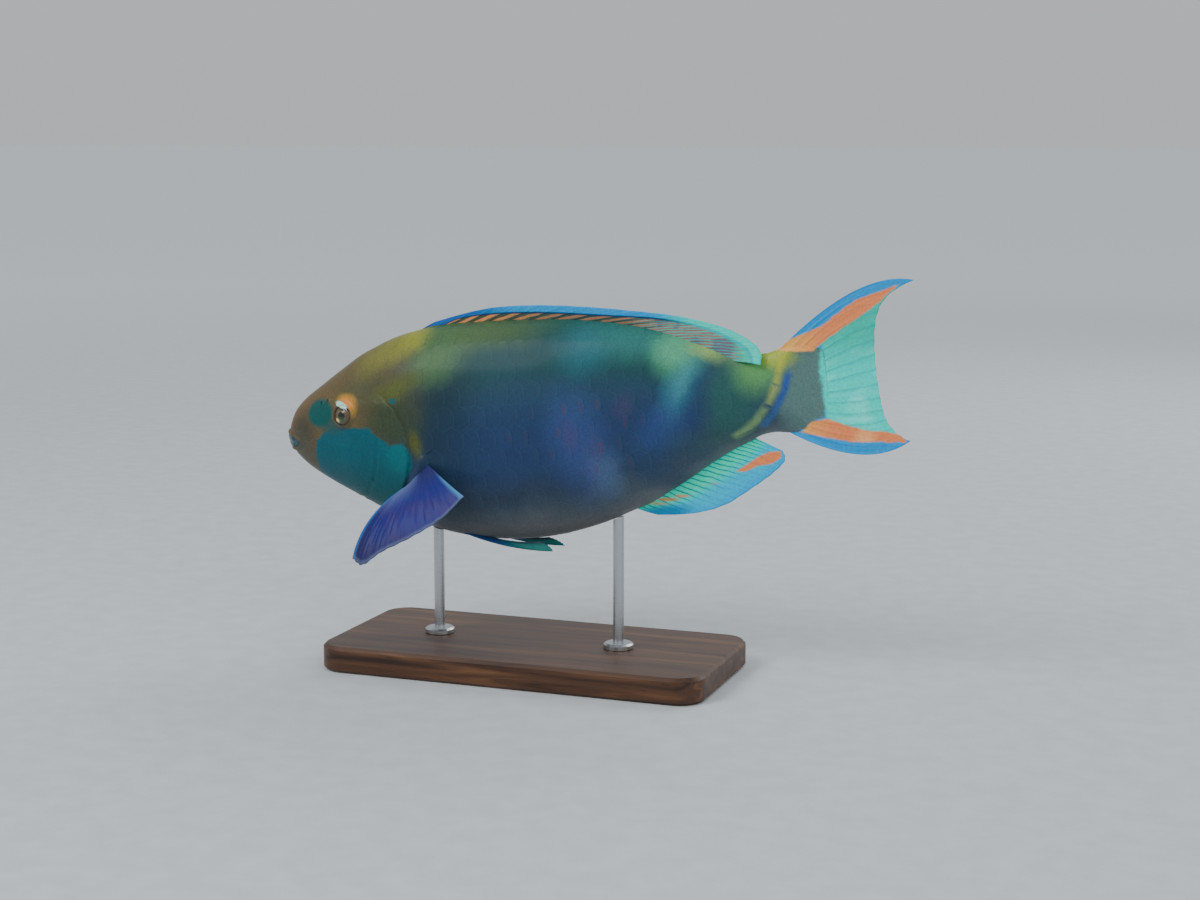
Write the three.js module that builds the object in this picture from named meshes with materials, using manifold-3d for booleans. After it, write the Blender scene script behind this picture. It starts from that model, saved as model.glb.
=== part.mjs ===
// A life-size display model of an adult male parrotfish on a plain stand, in millimetres, +Z up.
// The fish swims towards -X and shows its left side to -Y. It is built in its own frame, with x back
// from the snout and z up, and is then pitched head down over the stand. The origin of the part is the
// centre of the stand's underside.
import * as THREE from "three";
import { mergeVertices } from "three/addons/utils/BufferGeometryUtils.js";
import Module from "manifold-3d";

const wasm = await Module();
wasm.setup();

// The fish over its stand: 330 from the snout to the end of the stem, and 400 with the tail fin
const PITCH = THREE.MathUtils.degToRad(6.8);
const SNOUT_HEIGHT = 135;
const BALANCE_X = 165;
const GAP = 0.3;

// The body's sections from the snout back: x, top, bottom, half width, height of the widest point
const SECTIONS = [
  [1.8, -3.4, -3.4, 0.0, -3.4],
  [2.6, 2.2, -8.2, 4.6, -3.0],
  [5.0, 8.4, -12.0, 7.8, -2.4],
  [9.4, 15.2, -17.2, 11.2, -2.0],
  [17.0, 21.4, -24.0, 14.9, -1.8],
  [28.0, 27.8, -31.4, 18.3, -2.2],
  [43.0, 36.4, -40.6, 21.6, -3.2],
  [62.0, 46.4, -51.0, 24.9, -5.0],
  [85.0, 54.2, -61.9, 27.5, -7.0],
  [111.0, 57.1, -70.5, 28.8, -9.0],
  [140.0, 56.8, -74.8, 28.8, -10.0],
  [170.0, 55.3, -74.5, 27.6, -10.0],
  [200.0, 52.4, -69.0, 24.6, -9.0],
  [227.0, 47.6, -59.8, 20.7, -7.0],
  [252.0, 40.3, -47.8, 16.4, -5.0],
  [274.0, 32.2, -35.5, 12.6, -2.5],
  [293.0, 26.2, -26.7, 9.7, -0.5],
  [309.0, 24.3, -22.1, 7.5, 1.0],
  [322.0, 27.0, -22.9, 5.7, 1.5],
  [334.0, 27.2, -21.2, 3.5, 2.0],
  [344.0, 23.6, -16.6, 1.8, 2.5],
];
const UPPER_ROUNDNESS = 1.88;
const LOWER_ROUNDNESS = 2.06;
const RING_POINTS = 40;
const STATIONS_PER_SECTION = 2;
const STEM_END_BULGE = 0.6;

// The mouth and its beak
const MOUTH_HEIGHT = -4.2;
const MOUTH_DROOP = 0.16;
const MOUTH_CORNER_X = 12.5;
const BEAK_THICKNESS = 3.2;
const BEAK_PROUD = 0.7;
const UPPER_BEAK_HEIGHT = 4.6;
const LOWER_BEAK_HEIGHT = 3.8;
const BITE_GAP = 0.4;
const BEAK_SEAM = 0.9;
const UPPER_LIP_RADIUS = 2.1;
const LOWER_LIP_RADIUS = 1.8;
const LIP_SUNK = 0.75;
const LIP_STEPS = 9;
const LIP_SIDES = 7;

// The eyes and nostrils
const EYE = { x: 49.9, z: 9.7, radius: 6.9, depth: 4.6, sunk: 2.2 };
const ORBIT_RIM = { radius: 7.3, thickness: 1.15 };
const NOSTRIL_RIM = 0.55;
const NOSTRIL_DEPTH = 1.6;
const NOSTRILS = [
  { x: 33.2, z: 17.6, radius: 1.2 },
  { x: 37.8, z: 18.6, radius: 1.5 },
];

// The gill covers: the free hind edge and the front edge, from the top down, as x and z
const COVER_HIND_EDGE = [
  [80, 18],
  [87, 12],
  [91.5, 2],
  [94, -9],
  [93.6, -20],
  [90, -31],
  [83, -41],
  [73, -50],
  [60, -60],
];
const COVER_FRONT_EDGE = [
  [48, -56],
  [55, -44],
  [64, -30],
  [68, -14],
  [69, 2],
  [70, 14],
];
const ISTHMUS_HALF = 3;
const COVER_THIN = 0.9;
const COVER_THICK = 2.3;
const COVER_THICKENS = { from: 62, to: 92 };

// Where the head, trunk and tail stem meet
const HEAD_CUT = [
  [99, 90],
  [98.5, 52],
  [93, 34],
  [84, 18],
  [85, 4],
  [88, -9],
  [87.5, -20],
  [84, -30],
  [77, -39],
  [67, -48],
  [54, -58],
  [44, -90],
];
const STEM_CUT = [
  [300, 90],
  [304, -90],
];

// The fins: what the rays and the webs between them measure
const ROOT_SUNK = 5;
const WEB_HALF = 0.27;
const RAY_HALF_ROOT = 0.95;
const RAY_HALF_TIP = 0.42;
const RAY_HALF_WIDTH = 0.85;
const WEB_NICK = 0.015;
const DORSAL_SPINES = 9;
const DORSAL_SOFT_RAYS = 10;
const DORSAL_BASE = { front: 94, rear: 288 };
const DORSAL_DRAPE = { from: 0.62, reach: 9.5 };
const ANAL_RAYS = 12;
const ANAL_BASE = { front: 221, rear: 297 };
const CAUDAL_RAYS = 15;
const CAUDAL_BOW = { upper: 21.2, lower: 19.8 };
const PECTORAL_RAYS = 13;
const PECTORAL_BOW = { forward: 6, up: 12 };
const PECTORAL_ROOT = {
  leading: new THREE.Vector3(93.5, 0, -33),
  trailing: new THREE.Vector3(102, 0, -20.5),
};
const PELVIC_RAYS = 6;
const PELVIC_RAY_HALF = 0.8;

// The stand
const BASE = { length: 240, width: 112, thickness: 16, corner: 14, bevel: 2 };
const ROD_RADIUS = 3.2;
const ROD_FOOT = { radius: 9, height: 3.2 };
const ROD_X = { front: 94, rear: 211 };

// A smooth value between evenly numbered stops, for a place t from 0 to the last stop.
function smoothAt(stops, t, before) {
  const last = stops.length - 1;
  const i = Math.min(Math.max(Math.floor(t), 0), last - 1);
  const f = t - i;
  const p1 = stops[i];
  const p2 = stops[i + 1];
  const p0 = i > 0 ? stops[i - 1] : (before ?? 2 * p1 - p2);
  const p3 = i < last - 1 ? stops[i + 2] : 2 * p2 - p1;
  const bend = 2 * p0 - 5 * p1 + 4 * p2 - p3;
  const twist = 3 * (p1 - p2) + p3 - p0;
  return p1 + 0.5 * f * (p2 - p0 + f * (bend + f * twist));
}

const [SECTION_X, SECTION_TOP, SECTION_BOTTOM, SECTION_HALF, SECTION_WAIST] = [0, 1, 2, 3, 4].map((n) =>
  SECTIONS.map((row) => row[n]),
);

// The section at place s, where the values before the snout tip mirror those after it, so the tip is round.
function sectionAt(s) {
  return {
    x: smoothAt(SECTION_X, s, SECTION_X[1]),
    top: smoothAt(SECTION_TOP, s, SECTION_BOTTOM[1]),
    bottom: smoothAt(SECTION_BOTTOM, s, SECTION_TOP[1]),
    half: Math.max(smoothAt(SECTION_HALF, s, -SECTION_HALF[1]), 0),
    waist: smoothAt(SECTION_WAIST, s, SECTION_WAIST[1]),
  };
}

// The place s of the section at a given x.
function placeOf(x) {
  let low = 0;
  let high = SECTIONS.length - 1;
  for (let i = 0; i < 40; i++) {
    const middle = (low + high) / 2;
    if (sectionAt(middle).x < x) low = middle;
    else high = middle;
  }
  return (low + high) / 2;
}

const backAt = (x) => sectionAt(placeOf(x)).top;
const bellyAt = (x) => sectionAt(placeOf(x)).bottom;

// A point of the skin at place s and angle a, which is 0 on the fish's right and a quarter turn at its back.
function skinPoint(s, a) {
  const { x, top, bottom, half, waist } = sectionAt(s);
  const c = Math.cos(a);
  const h = Math.sin(a);
  const power = 2 / (h > 0 ? UPPER_ROUNDNESS : LOWER_ROUNDNESS);
  const rise = h > 0 ? top - waist : waist - bottom;
  const y = half * Math.sign(c) * Math.abs(c) ** power;
  const z = waist + rise * Math.sign(h) * Math.abs(h) ** power;
  return new THREE.Vector3(x, y, z);
}

function skinNormal(s, a) {
  const step = 0.02;
  const along = skinPoint(s + step, a).sub(skinPoint(s - step, a));
  const around = skinPoint(s, a + step).sub(skinPoint(s, a - step));
  return around.cross(along).normalize();
}

// The half width of the body at a given x and z.
function sideAt(x, z) {
  const { top, bottom, half, waist } = sectionAt(placeOf(x));
  const up = z > waist;
  const share = up ? (z - waist) / (top - waist) : (waist - z) / (waist - bottom);
  const power = up ? UPPER_ROUNDNESS : LOWER_ROUNDNESS;
  return half * Math.max(1 - share ** power, 0) ** (1 / power);
}

// The point of the side at x and z, on the left for side -1, with the way out of the skin there.
function sideSpot(x, z, side) {
  const step = 0.5;
  const slopeX = (sideAt(x + step, z) - sideAt(x - step, z)) / (2 * step);
  const slopeZ = (sideAt(x, z + step) - sideAt(x, z - step)) / (2 * step);
  const out = new THREE.Vector3(-slopeX, side, -slopeZ).normalize();
  return { at: new THREE.Vector3(x, side * sideAt(x, z), z), out };
}

// Turns a three.js geometry into a solid, and a solid back into a geometry.
function solidOf(geometry) {
  const bare = geometry.index ? geometry.toNonIndexed() : geometry.clone();
  bare.deleteAttribute("normal");
  bare.deleteAttribute("uv");
  const merged = mergeVertices(bare, 1e-4);
  const vertProperties = merged.attributes.position.array;
  const triVerts = new Uint32Array(merged.index.array);
  return new wasm.Manifold(new wasm.Mesh({ numProp: 3, vertProperties, triVerts }));
}

function geometryOf(solid) {
  const mesh = solid.getMesh();
  const points = new Float32Array(mesh.numVert * 3);
  for (let i = 0; i < mesh.numVert; i++) {
    points.set(mesh.vertProperties.subarray(i * mesh.numProp, i * mesh.numProp + 3), i * 3);
  }
  const geometry = new THREE.BufferGeometry();
  geometry.setAttribute("position", new THREE.BufferAttribute(points, 3));
  geometry.setIndex(new THREE.BufferAttribute(mesh.triVerts, 1));
  return geometry;
}

// The largest closed body of a solid.
function largest(solid) {
  const bodies = solid.decompose();
  bodies.sort((a, b) => b.volume() - a.volume());
  return bodies[0];
}

// A geometry from a list of points and a list of triangles.
function geometryFrom(points, triangles) {
  const geometry = new THREE.BufferGeometry();
  const flat = points.flatMap((p) => [p.x, p.y, p.z]);
  geometry.setAttribute("position", new THREE.Float32BufferAttribute(flat, 3));
  geometry.setIndex(triangles);
  return geometry;
}

// A closed solid from a tip, a list of rings with the same number of points, and an end.
function ringsSolid(tip, rings, end) {
  const points = [tip, ...rings.flat(), end];
  const sides = rings[0].length;
  const rear = rings.length - 1;
  const at = (i, j) => 1 + i * sides + (j % sides);
  const triangles = [];
  for (let j = 0; j < sides; j++) {
    triangles.push(0, at(0, j + 1), at(0, j));
    for (let i = 0; i < rear; i++) {
      triangles.push(at(i, j), at(i, j + 1), at(i + 1, j));
      triangles.push(at(i, j + 1), at(i + 1, j + 1), at(i + 1, j));
    }
    triangles.push(at(rear, j), at(rear, j + 1), points.length - 1);
  }
  return solidOf(geometryFrom(points, triangles));
}

// The whole body, moved out along its skin by a distance, or by a function of the point.
function bodySolid(outBy = 0) {
  const distance = (p) => (typeof outBy === "function" ? outBy(p) : outBy);
  const last = SECTIONS.length - 1;
  const tip = skinPoint(0, 0);
  tip.x -= distance(tip);
  const rings = [];
  for (let i = 1; i <= last * STATIONS_PER_SECTION; i++) {
    const s = i / STATIONS_PER_SECTION;
    const ring = [];
    for (let j = 0; j < RING_POINTS; j++) {
      const a = ((j + 0.5) / RING_POINTS) * 2 * Math.PI;
      const p = skinPoint(s, a);
      ring.push(p.addScaledVector(skinNormal(Math.min(s, last - 0.03), a), distance(p)));
    }
    rings.push(ring);
  }
  const { x, waist } = sectionAt(last);
  return ringsSolid(tip, rings, new THREE.Vector3(x + STEM_END_BULGE + distance(tip), 0, waist));
}

// A slab from an outline of x and z points: as wide as the fish, or from the isthmus out on one side.
function slab(outline, side = 0, reach = 80) {
  const shape = new THREE.Shape(outline.map(([x, z]) => new THREE.Vector2(x, z)));
  const near = side ? ISTHMUS_HALF : -reach;
  const geometry = new THREE.ExtrudeGeometry(shape, { depth: reach - near, bevelEnabled: false });
  geometry.rotateX(Math.PI / 2);
  geometry.translate(0, side < 0 ? -near : reach, 0);
  return solidOf(geometry);
}

// A tube along points, with a radius for each, closed at both ends.
function taperedTube(path, radii, sides) {
  const frames = new THREE.CatmullRomCurve3(path).computeFrenetFrames(path.length - 1);
  const rings = path.map((p, i) => {
    const ring = [];
    for (let j = 0; j < sides; j++) {
      const a = (j / sides) * 2 * Math.PI;
      const q = p.clone().addScaledVector(frames.normals[i], radii[i] * Math.cos(a));
      ring.push(q.addScaledVector(frames.binormals[i], radii[i] * Math.sin(a)));
    }
    return ring;
  });
  return ringsSolid(path[0], rings, path[path.length - 1]);
}

// The line where the beak bites, as a height over x.
const biteHeight = (x) => MOUTH_HEIGHT - MOUTH_DROOP * Math.max(x, 0);

// The band of a beak plate between two heights over the bite, grown by an allowance for its socket.
function beakBand(low, high, grown) {
  const front = -12;
  const rear = MOUTH_CORNER_X + grown;
  return slab([
    [front, biteHeight(0) + low - grown],
    [rear, biteHeight(rear) + low - grown],
    [rear, biteHeight(rear) + high + grown],
    [front, biteHeight(0) + high + grown],
  ]);
}

function beakPlates(proud, deep, grown) {
  const shell = bodySolid(proud).subtract(bodySolid(-deep));
  const upper = shell.intersect(beakBand(BITE_GAP / 2, UPPER_BEAK_HEIGHT, grown));
  const lower = shell.intersect(beakBand(-LOWER_BEAK_HEIGHT, -BITE_GAP / 2, grown));
  return { upper, lower };
}

// The groove down the middle of a beak plate, where its two halves join.
function beakSeam() {
  const seam = new THREE.BoxGeometry(BEAK_SEAM, BEAK_SEAM, 30);
  seam.rotateZ(Math.PI / 4);
  seam.translate(SECTION_X[0] - BEAK_PROUD - 0.2, 0, MOUTH_HEIGHT);
  return solidOf(seam);
}

// The x where the front of the snout reaches a height.
function frontAt(z) {
  let low = 0;
  let high = 6;
  for (let i = 0; i < 40; i++) {
    const middle = (low + high) / 2;
    const { top, bottom } = sectionAt(middle);
    if (bottom < z && z < top) high = middle;
    else low = middle;
  }
  return sectionAt(high).x;
}

// A lip: a tapered roll along the skin at a height over the bite, from corner to corner.
function lip(overBite, radius) {
  const path = [];
  const radii = [];
  const front = frontAt(MOUTH_HEIGHT + overBite);
  for (let i = -LIP_STEPS; i <= LIP_STEPS; i++) {
    const share = Math.abs(i) / LIP_STEPS;
    const x = front + (MOUTH_CORNER_X + 2.5 - front) * share ** 2;
    const z = biteHeight(x) + overBite * (1 - 0.75 * share ** 3);
    const y = Math.sign(i) * sideAt(x, z);
    path.push(new THREE.Vector3(x + LIP_SUNK * (1 - share), y * 0.965, z));
    radii.push(radius * (1 - 0.55 * share ** 2));
  }
  return taperedTube(path, radii, LIP_SIDES);
}

// Lays a shape that faces +Z flat on the side of the head, sunk in by a depth.
function laidOnSide(geometry, { x, z }, side, sunk) {
  const { at, out } = sideSpot(x, z, side);
  geometry.applyQuaternion(new THREE.Quaternion().setFromUnitVectors(new THREE.Vector3(0, 0, 1), out));
  geometry.translate(...at.addScaledVector(out, -sunk).toArray());
  return solidOf(geometry);
}

function flatBall(place, side, radius, depth, sunk, [wide, tall] = [16, 9]) {
  const ball = new THREE.SphereGeometry(1, wide, tall);
  ball.rotateX(Math.PI / 2);
  ball.scale(radius, radius, depth);
  return laidOnSide(ball, place, side, sunk);
}

function raisedRim(place, side, radius, thickness, [around, along] = [4, 16]) {
  return laidOnSide(new THREE.TorusGeometry(radius, thickness, around, along), place, side, 0.35 * thickness);
}

// A fin: a thin web with a ridge along each ray on both faces. Each ray is a function of u from 0 at
// its root to 1 at its tip. The web between two rays is nicked a little at the margin.
function finSolid(rays, rows, rootHalf = RAY_HALF_ROOT) {
  const columns = [];
  rays.forEach((ray, k) => {
    for (const offset of [-1, 0, 1]) {
      const other = rays[k + offset];
      if (other) columns.push({ ray, other, offset });
    }
  });
  const grid = columns.map(({ ray, other, offset }) => {
    const line = [];
    for (let i = 0; i <= rows; i++) {
      const u = i / rows;
      const point = ray(u);
      if (offset) {
        const next = other(u);
        const share = Math.min(RAY_HALF_WIDTH / Math.max(point.distanceTo(next), 0.1), 0.34);
        point.lerp(next, share);
        if (i === rows) point.lerp(ray(1 - WEB_NICK).lerp(other(1 - WEB_NICK), share), 0.5);
      }
      line.push(point);
    }
    return line;
  });
  const half = columns.map(({ offset }) => {
    const line = [];
    for (let i = 0; i <= rows; i++) {
      const u = i / rows;
      line.push(offset ? WEB_HALF : rootHalf + (RAY_HALF_TIP - rootHalf) * u ** 0.7);
    }
    return line;
  });
  const last = columns.length - 1;
  const normal = (c, i) => {
    const across = grid[Math.min(c + 1, last)][i].clone().sub(grid[Math.max(c - 1, 0)][i]);
    const along = grid[c][Math.min(i + 1, rows)].clone().sub(grid[c][Math.max(i - 1, 0)]);
    return across.cross(along).normalize();
  };
  const points = [];
  for (const face of [1, -1]) {
    for (let c = 0; c <= last; c++) {
      for (let i = 0; i <= rows; i++) {
        points.push(grid[c][i].clone().addScaledVector(normal(c, i), face * half[c][i]));
      }
    }
  }
  const back = (last + 1) * (rows + 1);
  const at = (c, i) => c * (rows + 1) + i;
  const triangles = [];
  for (let c = 0; c < last; c++) {
    for (let i = 0; i < rows; i++) {
      const [p, q, r, t] = [at(c, i), at(c + 1, i), at(c + 1, i + 1), at(c, i + 1)];
      triangles.push(p, q, r, p, r, t);
      triangles.push(p + back, r + back, q + back, p + back, t + back, r + back);
    }
  }
  const rim = (p, q) => triangles.push(p, p + back, q, q, p + back, q + back);
  for (let c = 0; c < last; c++) {
    rim(at(c, 0), at(c + 1, 0));
    rim(at(c + 1, rows), at(c, rows));
  }
  for (let i = 0; i < rows; i++) {
    rim(at(0, i + 1), at(0, i));
    rim(at(last, i), at(last, i + 1));
  }
  const solid = solidOf(geometryFrom(points, triangles));
  return solid.volume() < 0 ? solidOf(geometryFrom(points, triangles.reverse())) : solid;
}

// A ray that bends from its root past a middle point to its tip.
function bentRay(root, middle, tip) {
  const curve = new THREE.QuadraticBezierCurve3(root, middle, tip);
  return (u) => curve.getPoint(u);
}

// A fin's margin: a smooth line through points of x, y and z, read at a share of its way.
function marginAt(margin, share) {
  const t = share * (margin.length - 1);
  const [x, y, z] = [0, 1, 2].map((n) => smoothAt(margin.map((point) => point[n]), t));
  return new THREE.Vector3(x, y, z);
}

// The dorsal fin lies back along the spine, and its soft hind part is draped over the left of the stem.
function dorsalRays() {
  const count = DORSAL_SPINES + DORSAL_SOFT_RAYS;
  const margin = [
    [108, 0, 59.5],
    [127, 0, 62.7],
    [147, 0, 64.7],
    [169, 0, 64.0],
    [192, 0, 61.7],
    [215, 0, 58.3],
    [238, 0, 54.1],
    [258, 0, 50.2],
    [274, 0, 45.6],
    [289, 0, 40.2],
    [301, 0, 33.6],
    [309.5, 0, 26.0],
    [309.5, 0, 18.2],
  ];
  const rays = [];
  for (let k = 0; k < count; k++) {
    const share = k / (count - 1);
    const x = THREE.MathUtils.lerp(DORSAL_BASE.front, DORSAL_BASE.rear, share);
    const root = new THREE.Vector3(x - ROOT_SUNK, 0, backAt(x) - ROOT_SUNK);
    const tip = marginAt(margin, share);
    const drape = Math.max((share - DORSAL_DRAPE.from) / (1 - DORSAL_DRAPE.from), 0) ** 2;
    tip.y = -DORSAL_DRAPE.reach * drape;
    const middle = root.clone().lerp(tip, 0.5);
    middle.z += 1;
    middle.y -= 1.5 * drape;
    rays.push(bentRay(root, middle, tip));
  }
  return rays;
}

function analRays() {
  const margin = [
    [236, 0, -65.2],
    [257, 0, -65.6],
    [277, 0, -61.8],
    [295, 0, -52.6],
    [308, 0, -44.8],
    [315.6, 0, -38],
    [314.6, 0, -32.4],
  ];
  const rays = [];
  for (let k = 0; k < ANAL_RAYS; k++) {
    const share = k / (ANAL_RAYS - 1);
    const x = THREE.MathUtils.lerp(ANAL_BASE.front, ANAL_BASE.rear, share);
    const root = new THREE.Vector3(x - ROOT_SUNK, 0, bellyAt(x) + ROOT_SUNK);
    const tip = marginAt(margin, share);
    const middle = root.clone().lerp(tip, 0.5);
    middle.z -= 1.2 * (1 - share);
    middle.y = 0.8 * Math.sin(Math.PI * share);
    rays.push(bentRay(root, middle, tip));
  }
  return rays;
}

// The tail fin fans from the end of the stem, and its lobes curve out to long tips.
function caudalRays() {
  const margin = [
    [399, 0, 57.2],
    [385.0, 0, 51.0],
    [377.8, 0, 42.5],
    [374.6, 0, 32.5],
    [373.4, 0, 21.0],
    [373.1, 0, 9.5],
    [373.6, 0, -2.0],
    [374.6, 0, -12.0],
    [376.6, 0, -20.0],
    [381.5, 0, -27.0],
    [388.6, 0, -31.8],
  ];
  const rays = [];
  for (let k = 0; k < CAUDAL_RAYS; k++) {
    const share = k / (CAUDAL_RAYS - 1);
    const edge = 2 * share - 1;
    const root = new THREE.Vector3(326 - 7 * Math.abs(edge) ** 3, 0, 25.4 - 46.8 * share);
    const tip = marginAt(margin, share);
    const middle = root.clone().lerp(tip, 0.62);
    const bow = edge < 0 ? CAUDAL_BOW.upper : -CAUDAL_BOW.lower;
    middle.z += bow * Math.abs(edge) ** 1.4;
    middle.y = 1.6 * Math.sin(1.5 * Math.PI * share);
    rays.push(bentRay(root, middle, tip));
  }
  return rays;
}

// A pectoral fin, swung forward and down at the end of its stroke. Side -1 is the left.
function pectoralRays(side) {
  const margin = [
    [65.5, 62, -71],
    [71, 61, -75.6],
    [83, 58.5, -69],
    [101, 55, -62],
    [119.5, 50, -53],
    [133.5, 44, -41],
  ];
  const rays = [];
  for (let k = 0; k < PECTORAL_RAYS; k++) {
    const share = k / (PECTORAL_RAYS - 1);
    const root = PECTORAL_ROOT.leading.clone().lerp(PECTORAL_ROOT.trailing, share);
    root.y = sideAt(root.x, root.z) - 2.5;
    const tip = marginAt(margin, share);
    const middle = root.clone().lerp(tip, 0.6);
    middle.x -= PECTORAL_BOW.forward * (1 - share) ** 1.3;
    middle.y += 5 - 2 * share;
    middle.z += PECTORAL_BOW.up * (1 - share);
    for (const p of [root, middle, tip]) p.y *= side;
    rays.push(bentRay(root, middle, tip));
  }
  return rays;
}

// A pelvic fin, folded back under the belly.
function pelvicRays(side) {
  const rays = [];
  for (let k = 0; k < PELVIC_RAYS; k++) {
    const share = k / (PELVIC_RAYS - 1);
    const root = new THREE.Vector3(112 + 4.5 * share, 8.5 - 4 * share, -66.5 - 0.6 * share);
    const tip = new THREE.Vector3(171 - 8 * share ** 1.5, 9.5 - 3 * share, -82 + 6 * share);
    const middle = root.clone().lerp(tip, 0.5);
    middle.z -= 5.5 + 0.5 * share;
    middle.y += 1.4;
    for (const p of [root, middle, tip]) p.y *= side;
    rays.push(bentRay(root, middle, tip));
  }
  return rays;
}

// The fleshy lobe that a pectoral fin grows from.
function pectoralLobe(side) {
  const { leading, trailing } = PECTORAL_ROOT;
  const across = trailing.clone().sub(leading);
  const middle = leading.clone().lerp(trailing, 0.5);
  const lobe = new THREE.SphereGeometry(1, 11, 6);
  lobe.rotateZ(Math.PI / 2);
  lobe.scale(across.length() * 0.6, 4.6, 4.2);
  lobe.rotateY(-Math.atan2(across.z, across.x));
  lobe.translate(middle.x, side * sideAt(middle.x, middle.z), middle.z);
  return solidOf(lobe);
}

// The pieces of the fish, cut from one another with the gap that separate pieces keep.
const body = bodySolid();
const bodyGrown = bodySolid(GAP);
const headRegion = (grown) => slab([[-40, -90], [-40, 90], ...HEAD_CUT.map(([x, z]) => [x + grown, z])]);
const stemRegion = (grown) => slab([...STEM_CUT.map(([x, z]) => [x - grown, z]), [420, -90], [420, 90]]);

function headSolid() {
  const socket = beakPlates(6, BEAK_THICKNESS + GAP, GAP);
  let head = body.intersect(headRegion(0));
  head = head.add(lip(UPPER_BEAK_HEIGHT + 1.2, UPPER_LIP_RADIUS));
  head = head.add(lip(-LOWER_BEAK_HEIGHT - 0.9, LOWER_LIP_RADIUS));
  head = head.subtract(socket.upper).subtract(socket.lower);
  for (const side of [-1, 1]) {
    head = head.add(raisedRim(EYE, side, ORBIT_RIM.radius, ORBIT_RIM.thickness));
    head = head.subtract(flatBall(EYE, side, EYE.radius + GAP, EYE.depth + GAP, EYE.sunk));
    for (const hole of NOSTRILS) {
      head = head.add(raisedRim(hole, side, hole.radius, NOSTRIL_RIM, [4, 8]));
      head = head.subtract(flatBall(hole, side, hole.radius * 0.75, NOSTRIL_DEPTH, 0, [8, 5]));
    }
  }
  return head;
}

function coverSolid(side) {
  const edge = [...COVER_FRONT_EDGE, ...COVER_HIND_EDGE];
  const thickness = ({ x }) => {
    const share = THREE.MathUtils.smoothstep(x, COVER_THICKENS.from, COVER_THICKENS.to);
    return THREE.MathUtils.lerp(COVER_THIN, COVER_THICK, share);
  };
  return bodySolid(thickness).subtract(bodyGrown).intersect(slab(edge, side));
}

const pieces = new Map();
const beak = beakPlates(BEAK_PROUD, BEAK_THICKNESS, 0);
pieces.set("head", [headSolid(), "skin"]);
pieces.set("beak_upper", [beak.upper.subtract(beakSeam()), "beak"]);
pieces.set("beak_lower", [beak.lower.subtract(beakSeam()), "beak"]);
pieces.set("trunk", [body.subtract(headRegion(GAP)).subtract(stemRegion(GAP)), "skin"]);
pieces.set("tail_stem", [body.intersect(stemRegion(0)), "skin"]);
pieces.set("dorsal_fin", [finSolid(dorsalRays(), 4).subtract(bodyGrown), "fin"]);
pieces.set("anal_fin", [finSolid(analRays(), 5).subtract(bodyGrown), "fin"]);
pieces.set("tail_fin", [finSolid(caudalRays(), 7).subtract(bodyGrown), "fin"]);

for (const [name, side] of [["left", -1], ["right", 1]]) {
  pieces.set("gill_cover_" + name, [coverSolid(side), "skin"]);
  pieces.set("eye_" + name, [flatBall(EYE, side, EYE.radius, EYE.depth, EYE.sunk), "eye"]);
  const pectoral = finSolid(pectoralRays(side), 6).add(pectoralLobe(side));
  pieces.set("pectoral_fin_" + name, [pectoral.subtract(bodyGrown), "pectoral"]);
  const pelvic = finSolid(pelvicRays(side), 6, PELVIC_RAY_HALF);
  pieces.set("pelvic_fin_" + name, [pelvic.subtract(bodyGrown), "fin"]);
}

const materials = {
  skin: new THREE.MeshStandardMaterial({ color: 0x2b4f63, roughness: 0.5, metalness: 0 }),
  fin: new THREE.MeshStandardMaterial({ color: 0x25b4bd, roughness: 0.45, metalness: 0 }),
  pectoral: new THREE.MeshStandardMaterial({ color: 0x363f7c, roughness: 0.45, metalness: 0 }),
  beak: new THREE.MeshStandardMaterial({ color: 0x4f8f9b, roughness: 0.3, metalness: 0 }),
  eye: new THREE.MeshStandardMaterial({ color: 0xb98a4a, roughness: 0.12, metalness: 0 }),
  base: new THREE.MeshStandardMaterial({ color: 0x4a3020, roughness: 0.5, metalness: 0 }),
  rod: new THREE.MeshStandardMaterial({ color: 0xb9bcc0, roughness: 0.3, metalness: 1 }),
};

const fish = new THREE.Group();
for (const [name, [solid, finish]] of pieces) {
  const mesh = new THREE.Mesh(geometryOf(largest(solid)), materials[finish]);
  mesh.name = name;
  fish.add(mesh);
}
fish.rotation.y = -PITCH;
fish.position.set(-BALANCE_X * Math.cos(PITCH), 0, SNOUT_HEIGHT);
fish.updateMatrixWorld(true);

// The stand: a flat base with rounded corners, and two rods that end on the belly.
function baseGeometry() {
  const x = BASE.length / 2 - BASE.bevel;
  const y = BASE.width / 2 - BASE.bevel;
  const r = BASE.corner;
  const outline = new THREE.Shape();
  outline.absarc(x - r, y - r, r, 0, Math.PI / 2);
  outline.absarc(-x + r, y - r, r, Math.PI / 2, Math.PI);
  outline.absarc(-x + r, -y + r, r, Math.PI, 1.5 * Math.PI);
  outline.absarc(x - r, -y + r, r, 1.5 * Math.PI, 2 * Math.PI);
  return new THREE.ExtrudeGeometry(outline, {
    depth: BASE.thickness - 2 * BASE.bevel,
    bevelThickness: BASE.bevel,
    bevelSize: BASE.bevel,
    bevelSegments: 1,
    curveSegments: 6,
  }).translate(0, 0, BASE.bevel);
}

const bodyInWorld = solidOf(geometryOf(bodyGrown).applyMatrix4(fish.matrixWorld));

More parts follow.
